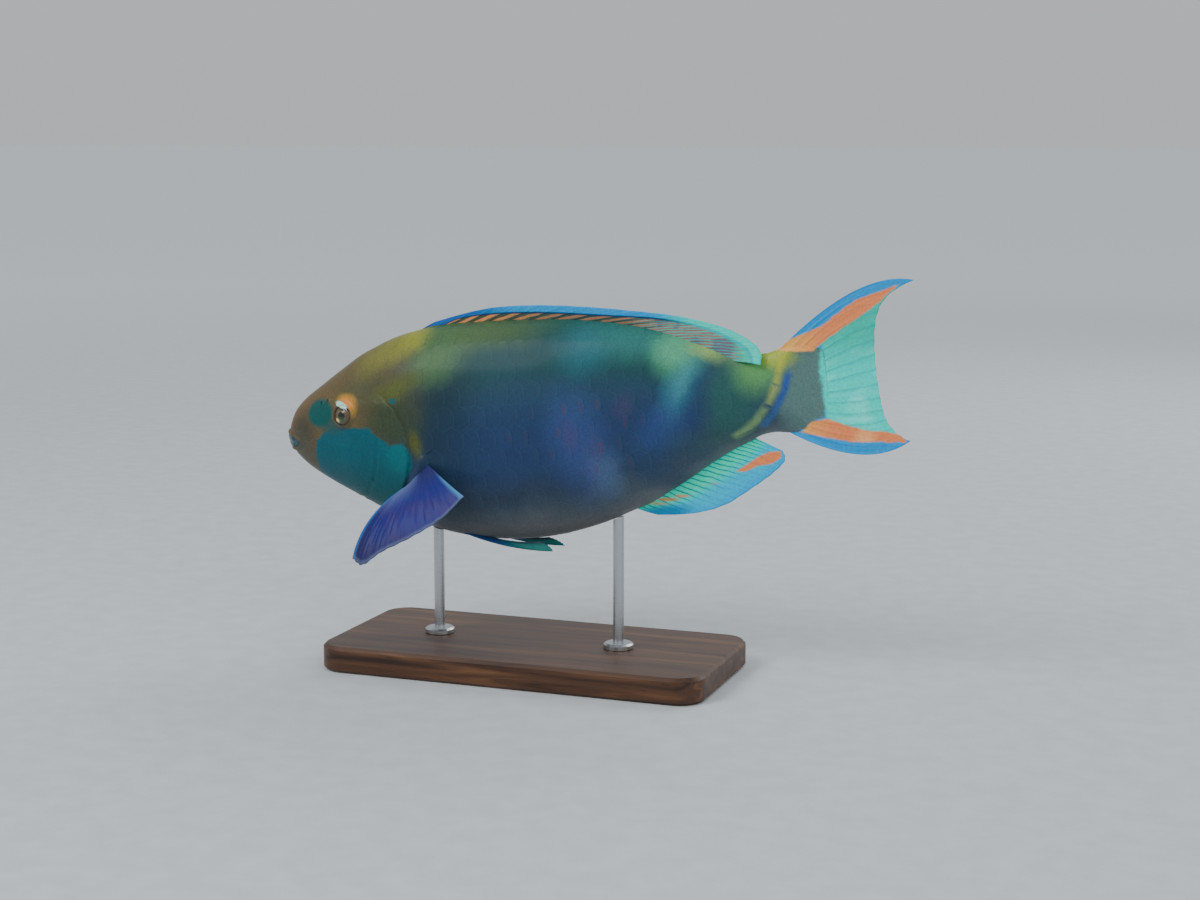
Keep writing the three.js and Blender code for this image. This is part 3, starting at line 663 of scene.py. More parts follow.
def finish_of(tree, colour, roughness, specular, coat, coat_roughness, bump=None):
    """Gives a material its colour, its gloss and, from a height, strength and depth in mm, its bump."""
    shader = tree.nodes["Principled BSDF"]
    tree.links.new(colour, shader.inputs["Base Color"])
    for key, value in (("Roughness", roughness), ("Specular IOR Level", specular),
                       ("Coat Weight", coat), ("Coat Roughness", coat_roughness)):
        shader.inputs[key].default_value = value
    if bump:
        height, strength, depth = bump
        raised = node(tree, "Bump", {"Height": height, "Strength": strength, "Distance": depth * MM})
        tree.links.new(raised, shader.inputs["Normal"])


def new_material(name):
    material = bpy.data.materials.new(name)
    material.use_nodes = True
    return material, material.node_tree


# The body's paints from the belly up to the back, by the share of its height
BODY_PAINTS = [
    (0.0, "74787c"), (0.1, "485560"), (0.22, "2e3d50"), (0.33, "293c5e"), (0.5, "flank"),
    (0.65, "26445a"), (0.8, "1a474b"), (0.92, "back"), (1.0, "3a6a50"),
]
# A spot of paint reaches this far through the fish, in mm
THROUGH = 1000
# Soft spots of paint: paint, centre, radii, turn, softness, strength
BODY_SPOTS = [
    ("18313a", (112, 6), (24, 38), 0, 0.8, 0.85),
    ("223a62", (180, -10), (60, 22), 0, 0.8, 0.5),
    ("0c464e", (176, 42), (46, 14), 4, 0.8, 0.8),
    ("206c7a", (208, 38), (15, 13), 0, 0.8, 0.7),
    ("3c5088", (200, -18), (15, 28), -8, 0.8, 0.55),
    ("4e678b", (214, -36), (9, 12), 0, 0.8, 0.6),
    ("4b4270", (196, -13), (4, 8), -8, 0.8, 0.45),
    ("483f68", (211, -21), (4, 6), 0, 0.8, 0.4),
    ("483f60", (228, 1), (5, 7), 10, 0.8, 0.4),
    ("43487c", (205, -33), (4, 7), -8, 0.8, 0.4),
    ("50683f", (140, 51), (36, 8), 2, 0.8, 0.85),
    ("4e7446", (112, 38), (18, 12), -18, 0.8, 0.85),
    ("nape", (91, 51), (14, 8.5), -22, 0.8, 0.95),
    ("646566", (168, -72), (90, 12), 0, 0.8, 0.7),
    ("2c7572", (240, 38), (26, 10), 10, 0.8, 0.8),
    ("band", (261, 31), (12, 13), 20, 0.8, 0.92),
    ("418c94", (263, 9), (8, 16), 30, 0.8, 0.85),
    ("2c477c", (249, -13), (10, 20), 35, 0.8, 0.7),
    ("28405a", (246, -38), (22, 11), 34, 0.8, 0.7),
    ("233862", (272, 3), (7, 20), 28, 0.8, 0.75),
    ("92b868", (281, 28), (13, 5), 24, 0.7, 0.8),
    ("304c5c", (266, -26), (14, 8), 36, 0.8, 0.6),
    ("stem", (291, 1), (15, 27), 14, 0.7, 0.92),
    ("64a25c", (307, 17), (12, 13), 14, 0.75, 0.85),
    ("tail_base", (337, 1), (20, 27), 8, 0.4, 0.95),
    ("a8b434", (316, 23), (11, 6), 10, 0.7, 0.85),
]
HEAD_SPOTS = [
    ("head", (40, 16), (56, 44), -25, 0.45, 1.0),
    ("6a5238", (9, 10), (20, 20), 0, 0.7, 0.8),
    ("3c4036", (19, 2), (9, 10), 0, 0.8, 0.85),
    ("4e5036", (64, 26), (17, 10), -24, 0.8, 0.8),
    ("7c7c38", (79, 46), (18, 9), -28, 0.8, 0.85),
    ("364430", (84, 4), (19, 20), 0, 0.7, 0.9),
    ("5c6424", (88, 24), (14, 6), -20, 0.7, 0.6),
    ("4a4c40", (17, -13), (13, 10), 35, 0.8, 0.8),
]
# Spots that stay in place, over the cheek's patch
FIXED_SPOTS = [
    ("585c20", (98.6, -10.5), (3.8, 7.5), -8, 0.75, 0.75),
    ("264e50", (41, 3.6), (9, 4.2), 0, 0.7, 0.85),
    ("a88434", (52.0, 18.4), (6.6, 3.8), 4, 0.4, 0.85),
    ("a07c34", (55.4, 14.6), (5.0, 6.4), 0, 0.4, 0.85),
    ("eye_patch", (52.6, 16.6), (5.2, 3.6), 24, 0.5, 0.95),
    ("lore", (32.4, 11.8), (9.8, 8.2), 0, 0.22, 1.0),
    ("185a5c", (85.4, 16.2), (2.2, 1.8), 0, 0.5, 0.95),
    ("3a3224", (49.9, 9.2), (6.6, 6.4), 0, 0.15, 0.7),
    ("crescent", (49.3, 16.0), (4.8, 1.7), 20, 0.2, 1.0),
]
# Where the side's scales may bear a rust bar
BARS_CENTRE = (200, -14)
BARS_RADII = (62, 40)
# Thin orange flecks along the front webs of the anal fin
ANAL_FLECKS = [
    ("d0843c", (243, -56.5), (6.5, 1.0), 4, 0.5, 0.85),
    ("d88a44", (252, -55), (4.5, 0.9), 4, 0.5, 0.8),
    ("c8a860", (236, -58.5), (8, 0.8), 6, 0.5, 0.7),
    ("c88a50", (273, -49), (3.5, 0.8), 2, 0.5, 0.6),
]


def markings():
    """The node group of the body's colours, made once, which the skin and the scales share."""
    name = "parrotfish markings"
    if name in bpy.data.node_groups:
        return bpy.data.node_groups[name]
    tree = bpy.data.node_groups.new(name, "ShaderNodeTree")
    tree.interface.new_socket("Color", in_out="OUTPUT", socket_type="NodeSocketColor")
    at = node(tree, "Attribute", attribute_name="fish_at", out="Vector")
    height = node(tree, "Attribute", attribute_name="height_share", out="Fac")
    wander = node(tree, "TexNoise", {"Vector": at, "Scale": 1 / 16, "Detail": 2.0}, "Color")
    moved = node(tree, "VectorMath", (wander, (0.5, 0.5, 0.5)), operation="SUBTRACT")
    moved = node(tree, "VectorMath", (moved, (7, 0, 7), at), operation="MULTIPLY_ADD")
    lumps = node(tree, "TexNoise", {"Vector": at, "Scale": 1 / 30, "Detail": 2.0})
    level = node(tree, "Math", (lumps, 0.3, height), operation="MULTIPLY_ADD")
    level = node(tree, "MapRange", (level, -0.85, 1.15, 0.0, 1.0))
    ramp = node(tree, "ValToRGB", (level,)).node
    while len(ramp.color_ramp.elements) < len(BODY_PAINTS):
        ramp.color_ramp.elements.new(0.5)
    for element, (position, paint) in zip(ramp.color_ramp.elements, BODY_PAINTS):
        element.position = position
        element.color = paint_of(paint)
    colour = ramp.outputs[0]
    colour = spotted(tree, colour, moved, *BODY_SPOTS, *HEAD_SPOTS)
    # The cheek's teal patch has a ragged edge, and is darker below
    fine = node(tree, "TexNoise", {"Vector": at, "Scale": 1 / 5, "Detail": 3.0})
    edge = node(tree, "Attribute", attribute_name="cheek_edge", out="Fac")
    edge = node(tree, "Math", (fine, 2.4, edge), operation="MULTIPLY_ADD")
    z = node(tree, "SeparateXYZ", (at,)).node.outputs[2]
    teal = painted(tree, "0c5058", "cheek", z, -42, -12)
    teal = spotted(tree, teal, moved, ("056a70", (86, -16), (8, 10), 0, 0.8, 0.8))
    colour = painted(tree, colour, teal, edge, 0.6, 2.6)
    colour = spotted(tree, colour, at, *FIXED_SPOTS)
    # On the stem a pale line and a blue line run down and forward, each darker at its lower end
    for name, low, high, bottom, top, ragged, outer, inner in (
            ("pale_line", "7a9c68", "b0b43c", -12, 16, 1.6, 5.0, 0.0),
            ("blue_line", "2f5c8c", "1c48a0", -14, 0, 1.2, 3.8, 0.8)):
        off = node(tree, "Attribute", attribute_name=name, out="Fac")
        off = node(tree, "Math", (fine, ragged, off), operation="MULTIPLY_ADD")
        line = painted(tree, low, high, z, bottom, top)
        colour = painted(tree, colour, line, off, outer, inner, 0.8)
    colour = tail_painted(tree, colour, "fin_turquoise", at)
    out = tree.nodes.new("NodeGroupOutput")
    tree.links.new(colour, out.inputs[0])
    return tree


def tail_painted(tree, root, web, at):
    """The tail's turquoise web and orange bands over the paint of its root, with soft ragged edges."""
    ragged = node(tree, "TexNoise", {"Vector": at, "Scale": 1 / 5, "Detail": 3.0})
    ragged = node(tree, "Math", (ragged, 0.5), operation="SUBTRACT")
    teal, orange = (node(tree, "Attribute", attribute_name=name, out="Fac")
                    for name in ("teal_edge", "orange_edge"))
    x, _, z = node(tree, "SeparateXYZ", (at,)).node.outputs
    teal = node(tree, "Math", (ragged, 5.0, teal), operation="MULTIPLY_ADD")
    orange = node(tree, "Math", (ragged, 2.0, orange), operation="MULTIPLY_ADD")
    web = painted(tree, web, "14a084", z, 6, 34, 0.6)
    colour = painted(tree, root, web, teal, -1.5, 2.0)
    warm = painted(tree, "f0b45c", "fin_orange", x, 318, 350)
    # A painted highlight: a pale spot on the lower orange band
    warm = spotted(tree, warm, at, ("ffb878", (363, -28.5), (5, 4), 0, 0.8, 0.8))
    return painted(tree, colour, warm, orange, -0.5, 0.9)


def skin_material():
    """Painted fish skin under a thin satin varnish, with fine pores about 0.6 mm across."""
    material, tree = new_material("painted fish skin")
    at = node(tree, "Attribute", attribute_name="fish_at", out="Vector")
    speckle = node(tree, "TexNoise", {"Vector": at, "Scale": 1 / 1.1, "Detail": 4.0, "Roughness": 0.6})
    colour = toned(tree, node(tree, "Group", node_tree=markings()), speckle, 0.85, 1.15)
    pores = node(tree, "TexNoise", {"Vector": at, "Scale": 1 / 0.6, "Detail": 2.0})
    finish_of(tree, colour, 0.44, 0.16, 0.1, 0.2, (pores, 0.25, 0.15))
    return material


def scale_material():
    """A cycloid scale: thin horn over painted skin, whose fine rings and ridges catch the light."""
    material, tree = new_material("cycloid scale")
    colour = node(tree, "Group", node_tree=markings())
    at, on_scale = (node(tree, "Attribute", attribute_name=name, out="Vector")
                    for name in ("fish_at", "on_scale"))
    along, across, chance = node(tree, "SeparateXYZ", (on_scale,)).node.outputs
    tone = node(tree, "MapRange", (chance, 0.0, 1.0, 0.97, 1.03))
    colour = node(tree, "VectorMath", {0: colour, "Scale": tone}, operation="SCALE")
    speckle = node(tree, "TexNoise", {"Vector": at, "Scale": 1 / 1.1, "Detail": 4.0, "Roughness": 0.6})
    colour = toned(tree, colour, speckle, 0.88, 1.12)
    # A short rust bar stands inside the hind margin of some scales in the middle of the side
    bar = chance
    in_oval = oval_share(tree, at, BARS_CENTRE, BARS_RADII)
    for value, middle, outer, inner, most in ((in_oval, 0, 1, 0.4, 0.5), (across, 0, 4.4, 2.2, 1),
                                              (along, 0.86, 0.12, 0.02, 1)):
        off = node(tree, "Math", (value, middle), operation="SUBTRACT")
        off = node(tree, "Math", (off,), operation="ABSOLUTE")
        share = node(tree, "MapRange", (off, outer, inner, 0, most), interpolation_type="SMOOTHSTEP")
        bar = node(tree, "Math", (bar, share), operation="MULTIPLY")
    # Then a painted highlight along each scale's hind edge, and painted shade over its root, where the
    # scale before it overlaps
    colour = layered(tree, colour, ("scale_bar", bar, 0.0, 1.0),
                     ("scale_rim_highlight", along, 0.9, 0.99, 0.06), ("0b1a22", along, 0.5, 0.3, 0.05))
    # Fine ridges run back over a scale, about 0.06 mm apart, and its growth rings are 0.7 mm apart
    wave = {"Vector": on_scale, "Distortion": 1.0, "Detail": 1.0}
    ridges = node(tree, "TexWave", {**wave, "Scale": 5.0}, 1, bands_direction="Y")
    rings = node(tree, "TexWave", {**wave, "Scale": 7.0}, 1)
    both = node(tree, "Math", (ridges, rings), operation="ADD")
    finish_of(tree, colour, 0.44, 0.14, 0.08, 0.16, (both, 0.2, 0.08))
    return material


def fin_material(name, paint):
    """Thin fin membrane between jointed rays, satin, painted by a function of the fin."""
    material, tree = new_material(name)
    at, on_fin = (node(tree, "Attribute", attribute_name=name, out="Vector")
                  for name in ("fish_at", "on_fin"))
    ray, along, rib = node(tree, "SeparateXYZ", (on_fin,)).node.outputs
    grain = node(tree, "TexNoise", {"Vector": at, "Scale": 1 / 1.6, "Detail": 4.0, "Roughness": 0.6})
    colour = toned(tree, paint(tree, at, ray, along, rib), grain, 0.92, 1.08)
    # The rays are jointed 38 times from root to tip, about every 1 mm
    joints = node(tree, "TexWave", {"Vector": node(tree, "CombineXYZ", (along,)), "Scale": 12.0}, 1)
    ribbed = node(tree, "Math", (joints, rib), operation="MULTIPLY")
    finish_of(tree, colour, 0.46, 0.14, 0.06, 0.2, (ribbed, 0.3, 0.1))
    return material


def streaks(tree, at, ray, along, lean, per_web=1):
    """0 in the middle of a streak, 1 half way to the next; they lean back by some rays over a ray."""
    wander = node(tree, "TexNoise", {"Vector": at, "Scale": 1 / 7, "Detail": 2.0})
    place = node(tree, "Math", (wander, 0.35, ray), operation="MULTIPLY_ADD")
    place = node(tree, "Math", (along, -lean, place), operation="MULTIPLY_ADD")
    place = node(tree, "Math", (place, per_web, 0.825), operation="MULTIPLY_ADD")
    place = node(tree, "Math", (place, 0.5), operation="PINGPONG")
    return node(tree, "Math", (place, 2.0), operation="MULTIPLY")


def paint_dorsal(tree, at, ray, along, rib):
    """Blue edge over orange streaks in front, and turquoise with thin rusty streaks behind."""
    x = node(tree, "SeparateXYZ", (at,)).node.outputs[0]
    away = streaks(tree, at, ray, along, 1.2)
    front = painted(tree, "d88a58", "46503c", away, 0.25, 0.65)
    front = painted(tree, front, "1a4a4c", x, 135, 190, 0.5)
    away = streaks(tree, at, ray, along, 1.6, 2)
    patches = node(tree, "TexNoise", {"Vector": at, "Scale": 1 / 11, "Detail": 2.0})
    behind = layered(tree, "a06c5c", ("00a8a4", away, 0.3, 0.8), ("3a4f7c", patches, 0.5, 0.62, 0.5),
                     ("30e8d4", away, 0.85, 1.0, 0.8))
    behind = painted(tree, "00b09c", behind, along, 0.12, 0.3)
    behind = painted(tree, behind, "10c4a8", x, 290, 302)
    base = painted(tree, front, behind, x, 222, 262)
    under_edge = painted(tree, "0e3458", "00b4b4", x, 246, 278)
    edge = painted(tree, "2064b0", "fin_blue", x, 130, 165)
    edge = painted(tree, edge, "00d8c4", x, 240, 275)
    shift = node(tree, "MapRange", (x, 200, 275, 0.0, -0.14), interpolation_type="SMOOTHSTEP")
    reach = node(tree, "Math", (along, shift), operation="ADD")
    early = node(tree, "MapRange", (x, 125, 108, 0.0, 0.3), interpolation_type="SMOOTHSTEP")
    reach = node(tree, "Math", (reach, early), operation="ADD")
    colour = painted(tree, base, under_edge, reach, 0.60, 0.67)
    return painted(tree, colour, edge, reach, 0.68, 0.735)


def paint_anal(tree, at, ray, along, rib):
    """Mint streaks on turquoise, a blue edge and an orange patch at the rear."""
    away = streaks(tree, at, ray, along, 0.0, 2)
    inner = painted(tree, "047a74", "fin_mint", away, 0.0, 0.34)
    inner = painted(tree, inner, "30f0d4", away, 0.75, 0.95, 0.3)
    inner = spotted(tree, inner, at, *ANAL_FLECKS)
    colour = layered(tree, inner, ("00bce4", along, 0.4, 0.72), ("00aee8", along, 0.8, 0.97),
                     ("04789c", away, 0.3, 0.0, 0.25))
    colour = spotted(tree, colour, at, ("0c5c98", (240, -64), (16, 4), -3, 0.6, 0.7))
    orange = node(tree, "Attribute", attribute_name="orange_edge", out="Fac")
    return painted(tree, colour, "fin_orange", orange, -0.5, 0.7)


def paint_caudal(tree, at, ray, along, rib):
    """Grey-green root, turquoise web with paler streaks, an orange band in each lobe, blue edges."""
    root_edge = node(tree, "Attribute", attribute_name="root_edge", out="Fac")
    narrow = node(tree, "Math", (ray, 0.45), operation="MULTIPLY")
    drawn = node(tree, "CombineXYZ", (narrow, along, 0.0))
    drawn = node(tree, "TexNoise", {"Vector": drawn, "Scale": 2.2, "Detail": 1.0})
    web = painted(tree, "fin_turquoise", "60f4e6", drawn, 0.5, 0.76)
    away = streaks(tree, at, ray, along, 0.0)
    web = painted(tree, web, "0098a4", away, 0.3, 0.0, 0.35)
    speckle = node(tree, "TexNoise", {"Vector": at, "Scale": 1 / 4, "Detail": 4.0})
    root = painted(tree, "tail_base", "46707a", speckle, 0.4, 0.7)
    return tail_painted(tree, painted(tree, "fin_blue", root, root_edge, -0.6, 2.0), web, at)


def paint_pectoral(tree, at, ray, along, rib):
    """Violet web, lavender at the root and greyer at the tip, with blue front and rear edges."""
    cloud = node(tree, "TexNoise", {"Vector": at, "Scale": 1 / 14, "Detail": 2.0})
    colour = painted(tree, "pectoral", "2c2470", cloud, 0.4, 0.7)
    root = painted(tree, "6676a8", "262a60", ray, 4.0, 9.0)
    colour = painted(tree, root, colour, along, 0.05, 0.55)
    tip = node(tree, "Math", (ray, -0.06, along), operation="MULTIPLY_ADD")
    colour = layered(tree, colour, ("2c2a58", tip, 0.3, 0.85, 0.9), ("2f6fb4", ray, 0.8, 0.0))
    rear = painted(tree, colour, "4c90c0", ray, PECTORAL_RAYS - 1.6, PECTORAL_RAYS - 1, 0.9)
    return layered(tree, colour, (rear, along, 0.2, 0.6), ("6f7c98", along, 0.93, 0.99, 0.5),
                   ("1c1a5a", rib, 0.0, 1.0, 0.05))


def paint_pelvic(tree, at, ray, along, rib):
    """A blue leaf with a turquoise hind part and grey inner rays."""
    return layered(tree, "1d4c8c", ("157a70", along, 0.35, 0.7), ("2c4450", ray, 2.6, 4.6),
                   ("16324c", rib, 0.0, 1.0, 0.3))


# The fins' rays: for each one its root, the middle point that bends it, and its tip
def margin_at(margin, share):
    """Points of a fin's margin at shares of its length."""
    return smooth(margin, share * (len(margin) - 1))


def dorsal_rays():
    share = np.linspace(0, 1, DORSAL_RAYS)
    x = blended(*DORSAL_BASE, share)
    root = np.stack([x - ROOT_SUNK, 0 * x, back_at(x) - ROOT_SUNK], -1)
    tip = margin_at(DORSAL_MARGIN, share)
    drape = np.maximum((share - DORSAL_DRAPE_FROM) / (1 - DORSAL_DRAPE_FROM), 0) ** 2
    tip[:, 1] = -DORSAL_DRAPE_REACH * drape
    middle = (root + tip) / 2 + np.stack([0 * x, -1.5 * drape, 1 + 0 * x], -1)
    return np.stack([root, middle, tip], 1)


def anal_rays():
    share = np.linspace(0, 1, ANAL_RAYS)
    x = blended(*ANAL_BASE, share)
    root = np.stack([x - ROOT_SUNK, 0 * x, belly_at(x) + ROOT_SUNK], -1)
    tip = margin_at(ANAL_MARGIN, share)
    middle = (root + tip) / 2 + np.stack([0 * x, 0.8 * np.sin(np.pi * share), -1.2 * (1 - share)], -1)
    return np.stack([root, middle, tip], 1)


def caudal_rays():
    share = np.linspace(0, 1, CAUDAL_RAYS)
    edge = 2 * share - 1
    x, early, top, height = CAUDAL_ROOTS
    root = np.stack([x - early * np.abs(edge) ** 3, 0 * edge, top - height * share], -1)
    tip = margin_at(CAUDAL_MARGIN, share)
    middle = blended(root, tip, 0.62)
    middle[:, 1] = 1.6 * np.sin(1.5 * np.pi * share)
    middle[:, 2] += np.where(edge < 0, CAUDAL_BOW_UPPER, -CAUDAL_BOW_LOWER) * np.abs(edge) ** 1.4
    return np.stack([root, middle, tip], 1)


def pectoral_rays(side):
    share = np.linspace(0, 1, PECTORAL_RAYS)
    x = blended(PECTORAL_LEADING_ROOT[0], PECTORAL_TRAILING_ROOT[0], share)
    z = blended(PECTORAL_LEADING_ROOT[1], PECTORAL_TRAILING_ROOT[1], share)
    root = side_spot(x, z)[0] - np.array([0, 2.5, 0])
    tip = margin_at(PECTORAL_MARGIN, share)
    middle = blended(root, tip, 0.6)
    middle[:, 0] -= PECTORAL_BOW_FORWARD * (1 - share) ** 1.3
    middle[:, 1] += 5 - 2 * share
    middle[:, 2] += PECTORAL_BOW_UP * (1 - share)
    return np.stack([root, middle, tip], 1) * np.array([1, side, 1])


def pelvic_rays(side):
    share = np.linspace(0, 1, PELVIC_RAYS)
    root = PELVIC_ROOT + np.stack([share, share, share], -1) * PELVIC_ROOTS_RUN
    tip = PELVIC_TIP + np.stack([share ** 1.5, share, share], -1) * PELVIC_TIPS_RUN
    middle = (root + tip) / 2
    middle[:, 1] += PELVIC_BOW_OUT
    middle[:, 2] -= PELVIC_BOW_DOWN + 0.5 * share
    return np.stack([root, middle, tip], 1) * np.array([1, side, 1])


def on_fin(rays, g, u):
    """Points of a fin at shares g across its rays and u out along them."""
    controls = smooth(rays.reshape(len(rays), 9), g * (len(rays) - 1)).reshape(-1, 3, 3)
    u = u[:, None]
    root, middle, tip = controls[:, 0], controls[:, 1], controls[:, 2]
    return (1 - u) ** 2 * root + 2 * u * (1 - u) * middle + u ** 2 * tip


def fin(name, rays, material, replaces, rows, root_half=RIB_ROOT_HALF, unbranched=0,
        marks=None):
    """A fin with branching rays raised on both faces of a thin web."""
    webs = len(rays) - 1
    columns = bpy.context.scene.parrotfish_fins.columns_per_web * webs
    bm = flat_slab(columns, rows)
    g, u, face = flat_points(bm).T
    step = 0.002
    ray = g * webs
    low, high = np.clip(g - step, 0, 1), np.clip(g + step, 0, 1)
    across = (on_fin(rays, high, u) - on_fin(rays, low, u)) / (high - low)[:, None]
    below, above = np.clip(u - step, 0, 1), np.clip(u + step, 0, 1)
    outward = on_fin(rays, g, above) - on_fin(rays, g, below)
    normal = unit(np.cross(across, outward))
    spacing = np.maximum(np.linalg.norm(across, axis=-1) / webs, 0.2)
    # Each soft ray forks half way out, and its two branches stay close together
    fork = RAY_FORK * eased(u, 0.42, 0.95) * (np.round(ray) >= unbranched)
    off = np.abs(np.abs(ray - np.round(ray)) - fork) * spacing
    rib = ridge(off, 0, blended(RAY_ROOT_WIDTH, RAY_TIP_WIDTH, eased(u, 0, 1)))
    tall = blended(root_half, min(RIB_TIP_HALF, 0.8 * root_half), u ** 0.7) - WEB_HALF
    between = np.sin(np.pi * ray) ** 2
    reach = u * (1 - WEB_NICK * between * eased(u, 0.7, 1))
    points = on_fin(rays, g, reach)
    ripple = WEB_RIPPLE * np.sin(9 * u + 1.7 * np.round(ray)) * between
    thin = blended(1.0, 0.75, eased(u, 0.9, 1))
    half = (WEB_HALF + tall * rib) * thin
    points = points + normal * (face * half + ripple)[:, None]
    laid_out(bm, points)
    values = {"fish_at": points, "on_fin": np.stack([ray, u, rib], -1)}
    for key, outlines in (marks or {}).items():
        values[key] = np.max([inside(points[:, [0, 2]], o) for o in outlines], axis=0)
    return finished(name, bm, material, replaces, values, weld=0)


# The coat of scales
ARC_X = np.arange(0, SECTIONS[-1][0] + 2, 1.0)
ARC_ANGLES = np.linspace(-0.8 * np.pi, 0.8 * np.pi, 289)


def arc_table():
    """For each x, how far round the skin each angle is from the waist, in mm."""
    p = skin_point(place_of(ARC_X)[:, None], ARC_ANGLES[None, :])
    lengths = np.linalg.norm(np.diff(p[..., 1:], axis=1), axis=-1)
    arcs = np.concatenate([np.zeros((len(ARC_X), 1)), np.cumsum(lengths, 1)], 1)
    middle = len(ARC_ANGLES) // 2
    return arcs - arcs[:, middle:middle + 1]


ARCS = arc_table()
QUARTER = int(np.argmin(np.abs(ARC_ANGLES - np.pi / 2)))


def arcs_at(x):
    return ARCS[int(np.clip(round(float(x)), 0, len(ARC_X) - 1))]


def angle_at_arc(x, arc):
    """The angle on the right side at a distance round the skin above the waist, at x."""
    return np.interp(arc, arcs_at(x), ARC_ANGLES)


def ridge_arcs(x):
    """How far round the skin the belly's and the back's middle are from the waist, at x."""
    row = arcs_at(x)
    return row[len(ARC_ANGLES) - 1 - QUARTER], row[QUARTER]


def scale_roots(coat):
    """For each scale: its root's x, the angles of root and tip, length, width, whether it is on the
    gill cover, its side and two random shares."""
    rng = np.random.RandomState(SEED)
    found = []
    for on_cover, pitch, spacing in ((False, coat.pitch, coat.row_spacing),
                                     (True, coat.head_pitch, coat.head_row_spacing)):
        pitch, spacing = pitch / MM, spacing / MM
        length, width = SCALE_LENGTH * pitch, SCALE_WIDTH * spacing
        rows = int(ROWS_REACH / spacing)
        for row in range(-rows, rows + 1):
            arc = row * spacing
            for column in range(int(COLUMNS_REACH / pitch)):
                x = FIRST_ROOT_X + (column + (row % 2) / 2) * pitch
                middle = x + SCALE_MIDDLE * length
                tip = x + length
                if tip > (LAST_COVER_TIP_X if on_cover else LAST_TIP_X):
                    continue
                lowest, highest = ridge_arcs(middle)
                if not lowest - 1.5 < arc < highest + 1.5:
                    continue
                a0, a1 = angle_at_arc(x, arc), angle_at_arc(tip, arc)
                at = skin_point(place_of(middle), blended(a0, a1, SCALE_MIDDLE))
                end = skin_point(place_of(tip), a1)
                eye = np.linalg.norm(at - EYE_SPOT)
                if inside(at[[0, 2]], SCALED) < 1.0 or eye < EYE_CLEARANCE + 0.4 * length:
                    continue
                # The gill cover's scales end before its free edge, and the body's begin behind it
                cover = inside(end[[0, 2]], COVER)
                if on_cover:
                    wanted = cover > 0.9 and at[2] < 16 and arc > lowest + 5
                else:
                    wanted = (cover < -2.2 or end[2] > 20) and (cover <= 0 or at[2] >= 22)
                if not wanted:
                    continue
                small = 1 - 0.14 * eased(x, 250, 330)
                for side in (1, -1):
                    found.append((x, a0, a1, length, width * small, on_cover, side, *rng.rand(2)))
    return np.array(found, float)


def scale_points(coat, u, v, face):
    """For each corner of each scale: its point, where its paint is read, its place on it and its UV.

    On the flat scale u runs from 0 at the root to 1 at the hind edge, v from -1 to 1 across, and face
    is 1 above and -1 below."""
    rear = 0.52 + 0.48 * np.sqrt(np.maximum(1 - np.abs(v) ** 2.4, 0))
    t = u ** 0.9 * rear
    across_share = v * (0.80 + 0.20 * np.sqrt(u))
    x0, a0, a1, length, width, cover, side, chance, lifted = scale_roots(coat).T[:, :, None]
    across = across_share * width / 2
    s = place_of(x0 + t * length)
    a = blended(a0, a1, t)
    around = skin_point(s, a + 0.01) - skin_point(s, a - 0.01)
    speed = np.linalg.norm(around[..., 1:], axis=-1) / 0.02
    a = a + across / np.maximum(speed, 3)
    a = np.where(side > 0, a, np.pi - a)
    p = skin_point(s, a)
    skin = np.where(cover > 0, relief(p), relief(p, with_cover=False))
    # The root lies under the skin and the hind edge stands over the next scale's root
    low = 1 - 0.7 * eased(x0, 292, 326) - 0.35 * (cover > 0)
    lift = blended(-0.02, coat.lift / MM * low, t) + 0.02 * (lifted - 0.5) * t
    lift = lift - 0.02 * across_share ** 2
    thick = coat.thickness / MM * blended(1.0, 0.4, t)
    out = skin + lift + np.where(face > 0, 0, -thick)
    points = thinned(p + skin_normal(s, a) * out[..., None])
    # A scale has nearly one colour: its paint is read close to its middle
    a_mid = blended(a0, a1, SCALE_PAINT)
    a_mid = np.where(side > 0, a_mid, np.pi - a_mid)
    anchor = skin_point(place_of(x0 + SCALE_PAINT * length), a_mid)
    on_scale = np.stack(np.broadcast_arrays(t / rear, across, chance), -1)
    unwrap_u = (x0 + length / 2) / UNWRAP_LENGTH + (t - 0.5) * UNWRAP_PATCH
    unwrap_v = (a_mid / (2 * np.pi) + across_share * UNWRAP_PATCH / 2 + 0.25) % 1.0
    return points, blended(points, anchor, 0.06), on_scale, np.stack([unwrap_u, unwrap_v], -1)


def coat_of_scales(coat):
    """One mesh of all the scales, each a closed shell of its own."""
    bm = flat_slab(6, 4)
    flat = flat_points(bm)
    faces = np.array([[v.index for v in f.verts] for f in bm.faces])
    bm.free()
    u, v, face = flat[:, 0], 2 * flat[:, 1] - 1, flat[:, 2]
    points, painted_at, on_scale, unwrap = scale_points(coat, u, v, face)
    corners = faces + np.arange(len(points))[:, None, None] * len(u)
    mesh = bpy.data.meshes.new("coat_of_scales")
    mesh.from_pydata(to_world(points).reshape(-1, 3), [], corners.reshape(-1, 4).tolist())
    mesh.validate()
    # A scale is shaded smooth over each face, and sharp round its rim
    rim = (u < 0.001) | (u > 0.999) | (np.abs(v) > 0.999)
    ends = np.zeros(2 * len(mesh.edges), int)
    mesh.edges.foreach_get("vertices", ends)
    ends = ends.reshape(-1, 2) % len(u)
    sharp = rim[ends].all(1) & (face[ends[:, 0]] == face[ends[:, 1]])
    mesh.attributes.new("sharp_edge", "BOOLEAN", "EDGE").data.foreach_set("value", sharp)
    index = np.zeros(len(mesh.loops), int)
    mesh.loops.foreach_get("vertex_index", index)
    layer = mesh.uv_layers.new(name="OFBake")
    layer.data.foreach_set("uv", unwrap.reshape(-1, 2)[index].astype(np.float32).ravel())
    marks = body_marks(painted_at.reshape(-1, 3))
    marks["on_scale"] = on_scale.reshape(-1, 3)
    object_of("coat_of_scales", mesh, scale_material(), (), marks)


